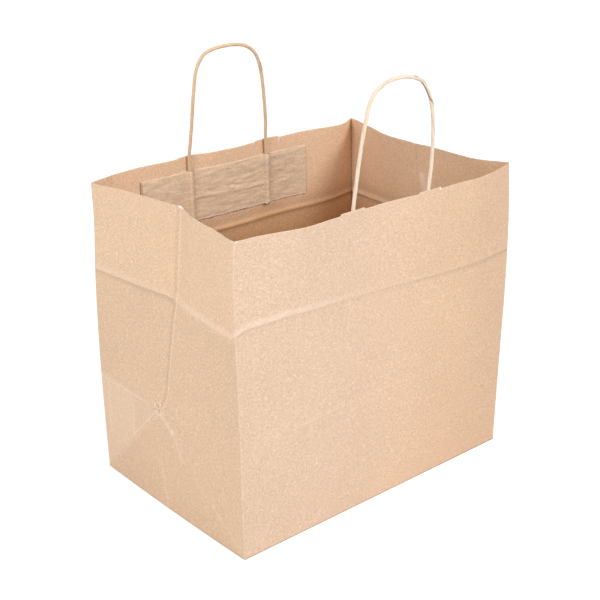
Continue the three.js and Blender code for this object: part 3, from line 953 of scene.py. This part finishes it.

# %% [markdown]
# ## The glued patches
#
# Each handle's legs lie between two strips of thinner paper glued to the wall, greyer
# than the sheet partly by their own paper and partly by painted shade.
# The inner strip is flat. The outer one drapes over both legs in soft ridges, and the
# damp glue has left it cockled. Both follow the bag's wall, point by point.

# %% The strips of the patches
PATCH_PAPER = 0.12
GLUE = 0.06
COVER_RISE = 0.55               # how much higher than the cord the cover lies over a leg
SKIRT = (0.3, 9, 9)             # a low ridge on both sides of a leg, as height and reaches
ROUGH = [(0.32, 3.2, 11), (0.3, 8.5, 12)]    # the strip's unevenness: height, size, noise
BACKING_GRID = (5, 14)          # the widest column of a strip, and its number of levels
COVER_GRID = (1.9, 51)
BESIDE_LEG = 6                  # columns crowd this far to each side of a leg
FINE_COLUMNS = np.arange(-5.6, 5.7, 0.4)    # and on a cover these are added

# Folds in the rear cover: the line of each by x and z, its ridge as height and reaches,
# and where it begins and ends
COVER_FOLDS = [
    ([(-60, 239.6), (-44, 240.7), (-5, 240), (34, 238.4), (60, 236)], (0.75, 6, 2.2),
     (-66, -40, 26, 56)),
    ([(-8, 248), (40, 252)], (0.4, 3, 2), (2, 14, 28, 40)),
]
BUMP = (-1, 243.6)              # a small rise with a dip round it
PEEL = 0.7                      # how far the rear cover's left end stands off
PEEL_REACH = 9


def from_nearest_leg(side, x, z):
    """How far a place is from the nearer leg of its cord, along x."""
    gaps = []
    for leg in ("left", "right"):
        foot_first = sorted(HANDLES[side][leg], key=lambda point: point[2])
        gaps.append(x - straight([(point[2], point[0]) for point in foot_first], z))
    return np.where(np.abs(gaps[0]) < np.abs(gaps[1]), gaps[0], gaps[1])


def leg_profile(off):
    """How far the outer strip stands off over a leg, by distance from the leg."""
    lift = CORD_DIAMETER + COVER_RISE
    steep = lift * (1 - ease(np.abs(off), 1.0, np.where(off > 0, 5.2, 3.8)))
    return steep + ridge(off, *SKIRT)


def lasting(x, begins, full, thins, ends):
    """1 along a fold, easing to 0 at its two ends."""
    return ease(x, begins, full) * (1 - ease(x, thins, ends))


def cockle(side, x, z, points):
    """Creases and unevenness of the strip's own paper."""
    edge = ease(z, PATCH_LOW, PATCH_LOW + 5) * ease(-z, -PATCH_HIGH, -PATCH_HIGH + 4)
    stretched = points * np.array([0.3, 0.3, 1.0])
    rough = sum(height * noise_at(stretched, size, seed) for height, size, seed in ROUGH)
    if side == "rear":
        wave = sum(
            ridge(z - straight(line, x), *shape) * lasting(x, *ends)
            for line, shape, ends in COVER_FOLDS
        )
        from_bump = np.hypot(x - BUMP[0], z - BUMP[1])
        wave += 0.7 * np.exp(-((from_bump / 1.8) ** 2))
        wave -= 0.35 * np.exp(-(((from_bump - 3.4) / 1.2) ** 2))
    else:
        wave = 0.4 * noise_at(stretched, 14, 13)
    return edge * (rough + wave + 0.3)


def patch_strip(side, over):
    """A strip of patch paper: the backing, or the cover that lies over the legs."""
    sign = WALLS[side].sign
    ends = sorted(sign * x for x in PATCH_ENDS[side])
    legs = sorted(sign * x for x in LEG_X[side])
    marks = [ends[0]]
    for leg in legs:
        marks += [leg - BESIDE_LEG, leg + BESIDE_LEG]
    widest, level_count = COVER_GRID if over else BACKING_GRID
    columns = graded(marks + [ends[1]], widest)
    for leg in legs if over else ():
        columns = np.unique(np.concatenate([columns, leg + FINE_COLUMNS]))
    levels = np.linspace(0, 1, level_count)
    along = np.repeat(columns[:, None], len(levels), axis=1)
    share = np.repeat(levels[None, :], len(columns), axis=0)
    x = sign * along
    low = PATCH_LOW + (0.35 * np.sin(x * 1.7) + 0.25 * np.sin(x * 3.1 + 1)) * (share < 0.5)
    z = low + (PATCH_HIGH - low) * share
    off = from_nearest_leg(side, outer_face(side, along, z)[..., 0], z)
    depth = np.full(z.shape, PAPER + GLUE)
    if over:
        flat_face = inner_face(side, along, z, depth)
        depth = depth + PATCH_PAPER + GLUE + leg_profile(off)
        depth = depth + cockle(side, x, z, flat_face) * (1 - 0.8 * (np.abs(off) < 3))
    if over and side == "rear":
        depth = depth + PEEL * (1 - ease(x - PATCH_ENDS[side][0], 0, PEEL_REACH))
    face = inner_face(side, along, z, depth)
    points, faces = slab(face, PATCH_PAPER)
    readings = {
        "off_leg": off, "off_low": z - PATCH_LOW, "off_high": PATCH_HIGH - z,
        "strip_x": x, "strip_z": z,
    }
    return points, faces, both_faces(readings)


patches = []
for side in HANDLES:
    for over, name in ((False, "backing"), (True, "cover")):
        points, faces, readings = patch_strip(side, over)
        patches.append(make_piece(
            f"{side}_{name}", points, faces.tolist(), readings,
            f"{side}_patch_{name}", "patch_paper",
        ))

# %% [markdown]
# ## Writing a material as sums
#
# A shader is a sum over the surface, so it reads best as one. The class below wraps one
# output socket, and an expression on it adds the Math nodes. Any other node comes from
# one method, which takes the node's type, its settings and what goes into its sockets.


# %% A reading, and a finish
class Reading:
    """A number or colour over the surface: one output socket of a finish's nodes."""

    def __init__(self, finish, socket):
        self.finish = finish
        self.socket = socket

    def sum(self, operation, first, second=None):
        """One Math node of that operation, on readings or plain numbers."""
        values = {0: first} if second is None else {0: first, 1: second}
        return self.finish.node("ShaderNodeMath", {"operation": operation}, values)

    def __add__(self, other):
        return self.sum("ADD", self, other)

    def __sub__(self, other):
        return self.sum("SUBTRACT", self, other)

    def __rsub__(self, other):
        return self.sum("SUBTRACT", other, self)

    def __mul__(self, other):
        return self.sum("MULTIPLY", self, other)

    def __abs__(self):
        return self.sum("ABSOLUTE", self)

    __radd__ = __add__
    __rmul__ = __mul__


class Finish:
    """A material being written, node by node."""

    def __init__(self, name):
        self.material = bpy.data.materials.new(name)
        self.material.use_nodes = True
        self.tree = self.material.node_tree
        self.tree.nodes.clear()

    def node(self, kind, settings=None, values=None, output=0):
        """Add a node: its settings first, then a value or a reading for each socket."""
        made = self.tree.nodes.new(kind)
        for key, value in (settings or {}).items():
            setattr(made, key, value)
        for key, value in (values or {}).items():
            if isinstance(value, Reading):
                self.tree.links.new(value.socket, made.inputs[key])
            else:
                made.inputs[key].default_value = value
        return Reading(self, made.outputs[output]) if made.outputs else None

    def reading(self, name, output="Fac"):
        """A number, or with output "Vector" a vector, that the mesh carries."""
        return self.node("ShaderNodeAttribute", {"attribute_name": name}, output=output)

    def readings(self, names):
        """Several numbers that the mesh carries, from their names in one line."""
        return [self.reading(name) for name in names.split()]

    def where(self):
        """The place on the object, in metres."""
        return self.node("ShaderNodeTexCoord", output="Object")

    def vector(self, operation, first, second, output="Value"):
        """One Vector Math node: its number, or with output 0 its vector."""
        settings = {"operation": operation}
        return self.node("ShaderNodeVectorMath", settings, {0: first, 1: second}, output)

    def stretched(self, where, by):
        """A vector multiplied along each axis."""
        return self.vector("MULTIPLY", where, by, output=0)

    def noise(self, where, scale, detail=2.0, roughness=0.5):
        """Noise from about -1 to 1."""
        values = {"Vector": where, "Scale": scale, "Detail": detail, "Roughness": roughness}
        return (self.node("ShaderNodeTexNoise", {}, values) - 0.5) * 2

    def rise(self, value, low, high):
        """0 below low, 1 above high, and a smooth rise between them."""
        values = {"Value": value, "From Min": low, "From Max": high, "To Min": 0.0, "To Max": 1.0}
        return self.node("ShaderNodeMapRange", {"interpolation_type": "SMOOTHSTEP"}, values)

    def line(self, off, at, half_width):
        """A soft line where a distance is at that value."""
        return 1 - self.rise(abs(off - at), 0.0, half_width)

    def stroke(self, flat, start, end, half_width):
        """A soft line from start to end, two points, on a flat vector of millimetres."""
        run = Vector((*end, 0)) - Vector((*start, 0))
        from_start = self.vector("SUBTRACT", flat, (*start, 0), output=0)
        along = self.vector("DOT_PRODUCT", from_start, run.normalized())
        held = self.node("ShaderNodeClamp", {}, {"Value": along, "Min": 0.0, "Max": run.length})
        nearest = self.scaled((*run.normalized(), 1), held)
        return 1 - self.rise(self.vector("DISTANCE", from_start, nearest), 0.0, half_width)

    def mix(self, share, first, second):
        """A colour between two colours."""
        values = {0: share, 6: first, 7: second}
        return self.node("ShaderNodeMix", {"data_type": "RGBA"}, values, output=2)

    def scaled(self, base, by):
        """A colour made brighter or darker over the surface."""
        base = base if isinstance(base, Reading) else base[:3]
        return self.node("ShaderNodeVectorMath", {"operation": "SCALE"}, {0: base, "Scale": by})

    def paper(self, colour, roughness, height, bump, bump_reach=0.0004):
        """End the finish as matt paper with that colour and surface height."""
        raised = self.node(
            "ShaderNodeBump", {}, {"Strength": bump, "Distance": bump_reach, "Height": height}
        )
        values = {"Base Color": colour, "Roughness": roughness, "Normal": raised,
                  "Specular IOR Level": 0.25}
        surface = self.node("ShaderNodeBsdfPrincipled", {}, values)
        self.node("ShaderNodeOutputMaterial", {}, {"Surface": surface})
        return self.material


def colour(red, green, blue):
    """A colour as it looks on a screen, 0 to 255, turned into the linear light it is."""
    linear = [(c / 255 / 12.92 if c < 10 else ((c / 255 + 0.055) / 1.055) ** 2.4)
              for c in (red, green, blue)]
    return (*linear, 1.0)


# %% [markdown]
# ## Kraft paper
#
# Kraft is unbleached: a warm brown that isn't even. Its fibres clump into a mottle two
# or three millimetres across, with paler flecks, and it is quite matt. Where it has been
# creased or torn, the fibres break and show nearly white, so the folds are lines paler
# than the sheet, worn here and there. A noise breaks each line, as wear does.

# %% The sheet's finish
kraft = Finish("kraft_sheet")
where = kraft.where()
off_fold, off_base, off_rim, off_leg = kraft.readings("off_fold off_base off_rim off_leg")
off_corner, off_crease, torn, rubbed = kraft.readings("off_corner off_crease torn rubbed")
shaded, side, lap, inside = kraft.readings("shaded side lap inside")
outside = 1 - inside
on_gusset = abs(side)
in_mm = kraft.stretched(where, (1 / MM, 1 / MM, 1 / MM))
x, y, z = (kraft.node("ShaderNodeSeparateXYZ", {}, {0: in_mm}, output=axis) for axis in range(3))

mottle = kraft.noise(where, 520, 3.0, 0.7)
cloud = kraft.noise(where, 16, 2.0)
grain = kraft.noise(where, 1300, 1.0)
upright_strokes = kraft.noise(kraft.stretched(where, (1, 1, 0.35)), 1200, 1.0)
level_strokes = kraft.noise(kraft.stretched(where, (0.35, 0.35, 1)), 1100, 1.0)
fibres = kraft.rise(upright_strokes, 0.25, 0.5) + kraft.rise(level_strokes, 0.25, 0.5)
worn = kraft.rise(kraft.noise(where, 210, 2.0), -0.25, 0.3)
worn_long = kraft.rise(kraft.noise(where, 34, 1.0), -0.3, 0.35)

speckle = mottle * 0.27 + fibres * 0.20 + grain * 0.24 - 0.08
# On the seam's lap the colour gets painted shade, since the doubled paper lets less light through
# from outside.
brightness = 0.99 + inside * 0.02 + speckle + cloud * 0.035 - lap * 0.06

# Inside, the colour gets painted shade further below the rim, darker and browner. The deep inside
# gets less light, and only light that has come off or through the brown walls.
BY_THE_RIM, DEEP_INSIDE_SHADE = colour(249, 213, 179), colour(206, 155, 103)
LEFT_END, RIGHT_END = colour(236, 205, 178), colour(239, 202, 170)
GUSSET = colour(239, 205, 173)
inner_sheet = kraft.mix(kraft.rise(off_rim, 40.0, 120.0), BY_THE_RIM, DEEP_INSIDE_SHADE)
front_sheet = kraft.mix(kraft.rise(x, -90.0, 110.0), LEFT_END, RIGHT_END)
outer_sheet = kraft.mix(on_gusset, front_sheet, GUSSET)
plain_sheet = kraft.mix(inside, outer_sheet, inner_sheet)
print("the sheet's own colours:", len(kraft.tree.nodes), "nodes")

# %% [markdown]
# Next come the marks of use and the painted shade. Under the packing fold the paper gets
# painted shade, and along the fold a pale band is painted, partly rubbed wear and partly
# painted highlight, so each wall carries how strong both are. Inside, the corners and the
# wall beside the glued legs get thin dark lines of painted shadow, where little light gets
# in. Darker places multiply the colour, and pale ones mix a paler one in.

# %% Painted shade
LEFT_OF_PATCH = PATCH_ENDS["rear"][0] - 0.4
FOLD_SHADOW = colour(184, 134, 76)

# Every term below is painted shade that multiplies the colour: under the packing fold, beside the
# rear cord's legs and the left end of the rear patch, along the inner corners, beside the gusset
# creases, and towards the right end of the front wall, where the light falls off.
under_fold = kraft.rise(off_fold, -7.0, -0.8) * (1 - kraft.rise(off_fold, -0.8, 0.2)) * shaded
near_rim = 1 - kraft.rise(off_rim, 12.0, 16.0)
leg_shadow = kraft.line(off_leg, -2.9, 1.1) * near_rim * inside
beside_patch = kraft.rise(z, PATCH_LOW, PATCH_LOW + 6) * kraft.rise(y, 50.0, 90.0)
beside_patch = beside_patch * (1 - kraft.rise(z, PATCH_HIGH - 2, PATCH_HIGH + 1))
leg_shadow = leg_shadow + kraft.line(x, LEFT_OF_PATCH, 1.1) * beside_patch * inside * 1.7
corner_shadow_line = kraft.line(off_corner, 0.2, 1.7) * inside
low = 1 - kraft.rise(z, 98.0, 103.0)
falloff_shade = kraft.rise(x, 10.0, 165.0) * outside * (1 - on_gusset)
on_right_inside = kraft.rise(side, 0.5, 0.9) * inside
crease_shade = kraft.line(off_crease, 3.0, 3.0) * outside * (1 - low)
corner_shade = (1 - kraft.rise(off_corner, 0.0, 26.0)) * inside
shade = under_fold * 0.17 + leg_shadow * 0.42 + corner_shadow_line * 0.3 + corner_shade * 0.04
shade = shade + falloff_shade * 0.11 + crease_shade * 0.11
# More painted shade: beside the right gusset's crease inside, in a band above the fold inside,
# along the foot of the walls, deep inside on the left of the rear wall, on the gussets below the
# fold, and over the inside of the right gusset.
shade = shade + kraft.line(off_crease, -1.8, 2.4) * inside * 0.07
shade = shade + kraft.line(off_fold, 6.0, 10.0) * inside * 0.08
shade = shade + (1 - kraft.rise(z, 0.3, 2.2)) * outside * 0.2
shade = shade + (1 - kraft.rise(x, -110.0, 10.0)) * kraft.rise(off_rim, 74.0, 84.0) * inside * 0.28
shade = shade + (1 - kraft.rise(off_fold, -8.0, 2.0)) * on_gusset * outside * 0.06
shade = shade + on_right_inside * 0.06
sheet_colour = kraft.scaled(plain_sheet, brightness * (1 - shade))
# A dark line of painted shadow just under the fold, on the inside of the rear wall.
rear_fold_shadow = kraft.line(off_fold, -0.8, 3.4) * inside * kraft.rise(y, 70.0, 95.0)
sheet_colour = kraft.mix(rear_fold_shadow * 0.62, sheet_colour, FOLD_SHADOW)
print("with its shaded places:", len(kraft.tree.nodes), "nodes")

# %% Worn places, painted highlights and broken places
# The pale band along the fold is partly rubbed wear and partly painted highlight on the slope
# above it that faces the light.
fold_band = kraft.rise(off_fold, -1.6, 0.2) * (1 - kraft.rise(off_fold, 2.8, 6.5)) * rubbed
fold_band = fold_band * (0.28 + 0.2 * worn)
fold_line = kraft.line(off_fold, 0.3, 0.8) * worn_long * 0.2 * outside
base_line = kraft.line(off_base, 0.0, 0.8) * (0.05 + worn * worn_long * 0.45) * outside
base_line = base_line * (1 - on_gusset * 0.5)
near_left = (1 - kraft.rise(x, -105, -60)) * outside
base_line = base_line + kraft.line(off_base, 0.0, 0.9) * worn * near_left * 0.35
corner_line = kraft.line(off_corner, 0.0, 0.9) * (0.35 + worn * 0.35) * outside
crease_line = kraft.line(off_crease, 0.0, 1.1) * (0.28 + worn * 0.36) * (1 - low * 0.85)
crease_line = crease_line * (1 - inside * 0.6)
# A pale line along the cut rim: partly broken fibres and partly painted highlight where the edge
# catches the light.
rim_fibres_and_highlight = kraft.line(off_rim, 0.0, 0.5) * 0.6
wear_and_highlight = fold_band + fold_line + base_line + corner_line + crease_line + rim_fibres_and_highlight
print("with its rubbed places:", len(kraft.tree.nodes), "nodes")

# %% [markdown]
# The left gusset was folded harder than the rest: its base carries scratches that run
# from the crossing of the creases to the corners, and the crossing itself is crumpled.
# Each scratch is a stroke between two points, across the gusset and up, in millimetres,
# with a half width and a strength. One more stroke is a painted highlight on the side of
# the pinch inside the right one that faces the light.

# %% Scratches at the foot of the left gusset
APEX = (7, 100)                 # where the creases cross, across the gusset and up
SCRATCHES = [
    ((5, 96), (-13, 85), 4.6, 0.5), ((-13, 85), (-25, 62), 3.6, 0.28),
    ((-25, 62), (-54, 43), 1.6, 0.2), ((-36, 52), (-98, 10), 1.4, 0.2),
    ((-54, 43), (-80, 20), 1.8, 0.2), ((8, 48), (4, 1), 3.4, 0.28),
    ((105, 96), (23, 99), 1.0, 0.5), ((92, 92), (93, 43), 3.8, 0.22),
    ((49, 91), (50, 58), 3.2, 0.22), ((50, 58), (10, 97), 1.8, 0.35),
]
PINCH_HIGHLIGHT = ((-11, 251), (-14, 232), 4.2)

on_left = kraft.rise(0 - side, 0.5, 0.9) * outside
across_and_up = kraft.node("ShaderNodeCombineXYZ", {}, {0: y, 1: z})
scratched = sum(
    kraft.stroke(across_and_up, start, end, half_width) * strength
    for start, end, half_width, strength in SCRATCHES
)
greyed = low * kraft.rise(off_base, 0.0, 2.5) * kraft.rise(y, 12.0, 20.0)
greyed = greyed * (0.13 + kraft.rise(y, 44.0, 54.0) * 0.13)
from_apex = kraft.vector("DISTANCE", across_and_up, (*APEX, 0))
crumpled = (1 - kraft.rise(from_apex, 4.0, 8.5)) * on_left
flakes = kraft.noise(where, 520, 2.0)
wear_and_highlight = wear_and_highlight + (scratched * (0.45 + worn * 0.55) + greyed) * on_left
wear_and_highlight = wear_and_highlight + crumpled * kraft.rise(flakes, 0.0, 0.25)
# A painted highlight on the lit side of the pinch inside the right gusset.
wear_and_highlight = wear_and_highlight + kraft.stroke(across_and_up, *PINCH_HIGHLIGHT) * on_right_inside * 0.85
print("with its scratches:", len(kraft.tree.nodes), "nodes")

# %% The rest of the sheet's finish
WORN_FIBRES_AND_HIGHLIGHT, TORN_FIBRES = colour(247, 224, 202), colour(252, 240, 226)

broken = kraft.rise(torn + kraft.noise(where, 900, 1.0) * 0.25, 0.3, 0.6)
sheet_colour = kraft.scaled(sheet_colour, 1 - crumpled * kraft.rise(0 - flakes, 0.0, 0.4) * 0.22)
# Wear and painted highlights are mixed towards one pale colour.
sheet_colour = kraft.mix(wear_and_highlight, sheet_colour, WORN_FIBRES_AND_HIGHLIGHT)
sheet_colour = kraft.mix(broken, sheet_colour, TORN_FIBRES)
height = mottle * 0.5 + fibres * 0.2 + broken * 1.5 + crumpled * flakes * 2
bag.data.materials.append(kraft.paper(sheet_colour, 0.92, height, 0.35, 0.00035))
print("kraft:", len(kraft.tree.nodes), "nodes")

# %% [markdown]
# ## Patch paper
#
# The strips are a thinner paper than the sheet, and greyer: partly their own paper and
# partly painted shade, as the glued layers let less light through from outside. Glue has
# soaked through it in long streaks, and its lower edge was cut by a toothed blade, which
# left a pale fringe. Painted light lifts the shadow under that edge, a painted highlight
# runs along the lit side of each ridge over a leg, and painted shade lies beside its other
# side and towards the strip's right end.

# %% The patches' finish
STRIP, FRINGE_AND_HIGHLIGHT = colour(234, 207, 178), colour(255, 243, 226)
SCUFF_AND_HIGHLIGHT, HOLE_SHADOW = colour(250, 238, 224), colour(96, 62, 38)

glued = Finish("patch_sheet")
where = glued.where()
off_leg, off_low, off_high = glued.readings("off_leg off_low off_high")
strip_x, strip_z = glued.readings("strip_x strip_z")
streaks = glued.noise(glued.stretched(where, (0.16, 0.16, 1.0)), 420, 3.0, 0.6)
blotches = glued.noise(glued.stretched(where, (0.5, 0.5, 1.0)), 95, 2.0)
mottle = glued.noise(where, 520, 3.0, 0.6)
toothed = glued.rise(glued.noise(where, 650, 0.0), -0.25, 0.15)
# Painted shade along the side of each ridge that faces away from the light.
ridge_shade = glued.line(off_leg, 4.2, 3.0) * 0.2
brightness = 1.02 + streaks * 0.32 + blotches * 0.09 + mottle * 0.30 - ridge_shade
# Painted shade, darker towards the strip's right end, where the light inside falls off.
brightness = brightness - glued.rise(strip_x, 0.0, 60.0) * 0.06
strip_colour = glued.scaled(STRIP, brightness)
# A pale fringe at the lower edge, partly the cut edge and partly painted light over its shadow; a
# pale top edge; and a painted highlight along the lit side of each ridge.
edges_and_highlight = glued.line(off_low, 0.8, 1.7) * (0.35 + toothed * 0.65)
edges_and_highlight = edges_and_highlight + glued.line(off_high, 0.0, 0.5) * toothed * 0.25
edges_and_highlight = edges_and_highlight + glued.line(off_leg, -0.8, 1.7) * (0.08 + toothed * 0.14)
print("patch:", len(glued.tree.nodes), "nodes")

# %% [markdown]
# The rear cover has three small marks, each a stroke by x and z with a half width: a hole
# in its lower edge filled with painted shadow, the two sides of the rip above it, and a
# small bump with a painted highlight on it.

# %% Marks on the rear cover
HOLE = ((40.2, 218.8), (40.9, 219.2), 1.3)
RIP = [((37.2, 218.4), (40.6, 221.6), 1.0), ((40.6, 221.6), (42.6, 218.4), 0.9)]
PIMPLE = ((-1.6, 243.2), (-0.6, 244.0), 2.6)

in_plane = glued.node("ShaderNodeCombineXYZ", {}, {0: strip_x, 1: strip_z})
metres_back = glued.node("ShaderNodeSeparateXYZ", {}, {0: where}, output=1)
on_rear = glued.rise(metres_back, 0.0, 0.01)
hole = glued.stroke(in_plane, *HOLE) * on_rear
pimple = glued.stroke(in_plane, *PIMPLE) * on_rear
rip = sum(glued.stroke(in_plane, *part) * on_rear for part in RIP)
strip_colour = glued.mix(edges_and_highlight, strip_colour, FRINGE_AND_HIGHLIGHT)
# A pale spot painted on the small bump as its highlight.
strip_colour = glued.mix(pimple * 0.4, strip_colour, SCUFF_AND_HIGHLIGHT)
strip_colour = glued.mix(rip * 0.8, strip_colour, SCUFF_AND_HIGHLIGHT)
# Painted shadow fills the hole.
strip_colour = glued.mix(hole, strip_colour, HOLE_SHADOW)
strip_finish = glued.paper(strip_colour, 0.85, streaks * 0.6 + mottle * 0.4, 0.6)
for strip in patches:
    strip.data.materials.append(strip_finish)
print("patch with its marks:", len(glued.tree.nodes), "nodes")

# %% [markdown]
# ## Twisted paper
#
# The cords are a smoother, paler paper. The creases of the twist run along them, so the
# noise is laid along the cord: it reads the angle and the distance that the mesh carries.


# %% The cords' finish
SPLIT_SHADOW = colour(100, 76, 57)


def cord_finish(name, base, seam_colour):
    """The finish of one cord, in its own two colours."""
    twisted = Finish(name)
    lay = twisted.reading("lay", "Vector")
    seam, split = twisted.readings("seam split")
    strands = twisted.noise(twisted.stretched(lay, (3.2, 3.2, 0.16)), 1.0, 3.0, 0.65)
    mottle = twisted.noise(twisted.where(), 600, 2.0)
    brightness = 1 + strands * 0.30 + mottle * 0.07
    band = twisted.scaled(base, brightness)
    band = twisted.mix(twisted.line(seam, 0.0, 0.3) * 0.6, band, seam_colour)
    # Painted shade fills the split, where the gap would be dark.
    band = twisted.mix(split * 0.9, band, SPLIT_SHADOW)
    return twisted.paper(band, 0.82, strands + mottle * 0.3, 0.4)


CORD_COLOURS = {
    "front": (colour(240, 220, 197), colour(190, 152, 120)),
    "rear": (colour(230, 198, 164), colour(178, 138, 102)),
}
for side, colours in CORD_COLOURS.items():
    cords[side].data.materials.append(cord_finish(f"{side}_cord_paper", *colours))
print("cords:", ", ".join(CORD_COLOURS))

# %% [markdown]
# ## The table and the light
#
# The bag stands on a plain white sweep. The world gives an even white light from all
# round, and two soft lamps, one on the left and one on the right, give the shapes their
# sides. To the camera alone the floor and the world show as white paper does when it is
# lit a little brighter than the bag, and the floor keeps the bag's shadow.

# %% The floor
FLOOR = 7.0                     # metres from its middle to each side
FLOOR_DROP = 0.00005            # it lies this much lower than the bag's foot
FLOOR_GLOW = 0.45

floor_mesh = bpy.data.meshes.new("floor")
floor_corners = [(-FLOOR, -FLOOR), (FLOOR, -FLOOR), (FLOOR, FLOOR), (-FLOOR, FLOOR)]
floor_mesh.from_pydata([(x, y, -FLOOR_DROP) for x, y in floor_corners], [], [(0, 1, 2, 3)])
floor = bpy.data.objects.new("floor", floor_mesh)
bpy.context.scene.collection.objects.link(floor)


def seen_directly(finish):
    """1 for what the camera sees itself, in a mirror or through glass."""
    rays = [finish.node("ShaderNodeLightPath", output=name)
            for name in ("Is Camera Ray", "Is Glossy Ray", "Is Transmission Ray")]
    return finish.rise(rays[0] + rays[1] + rays[2], 0.0, 1.0)


sweep = Finish("white_sweep")
matt = sweep.node("ShaderNodeBsdfDiffuse", {}, {"Color": (0.8, 0.8, 0.8, 1)})
strength = seen_directly(sweep) * FLOOR_GLOW
glow = sweep.node("ShaderNodeEmission", {}, {"Color": (1, 1, 1, 1), "Strength": strength})
lit = sweep.node("ShaderNodeAddShader", {}, {0: matt, 1: glow})
sweep.node("ShaderNodeOutputMaterial", {}, {"Surface": lit})
floor_mesh.materials.append(sweep.material)
print("floor:", len(sweep.tree.nodes), "nodes")

# %% The world and the lamps
WORLD_LIGHT = 0.66
LAMPS = {                       # each lamp's place and width in metres, and its power
    "left_lamp": ((-2.1, -0.6, 1.75), 1.1, 25),
    "right_lamp": ((0.9, -1.95, 1.8), 0.9, 25),
}

world = bpy.data.worlds.new("studio")
world.use_nodes = True
bpy.context.scene.world = world


class Surroundings(Finish):
    """The world's nodes, written in the same way."""

    def __init__(self, world):
        self.tree = world.node_tree
        self.tree.nodes.clear()


around_us = Surroundings(world)
strength = WORLD_LIGHT + seen_directly(around_us) * (1 - WORLD_LIGHT)
background = around_us.node(
    "ShaderNodeBackground", {}, {"Color": (1, 1, 1, 1), "Strength": strength}
)
around_us.node("ShaderNodeOutputWorld", {}, {"Surface": background})


def soft_lamp(name, place, size, power):
    """A round soft lamp that faces the bag."""
    lamp_data = bpy.data.lights.new(name, "AREA")
    lamp_data.shape = "DISK"
    lamp_data.size = size
    lamp_data.energy = power
    lamp = bpy.data.objects.new(name, lamp_data)
    lamp.location = place
    lamp.rotation_euler = (AIM - lamp.location).to_track_quat("-Z", "Y").to_euler()
    bpy.context.scene.collection.objects.link(lamp)


for name, (place, size, power) in LAMPS.items():
    soft_lamp(name, place, size, power)
print("lamps:", ", ".join(LAMPS))

view = bpy.context.scene.view_settings
view.view_transform = "Standard"
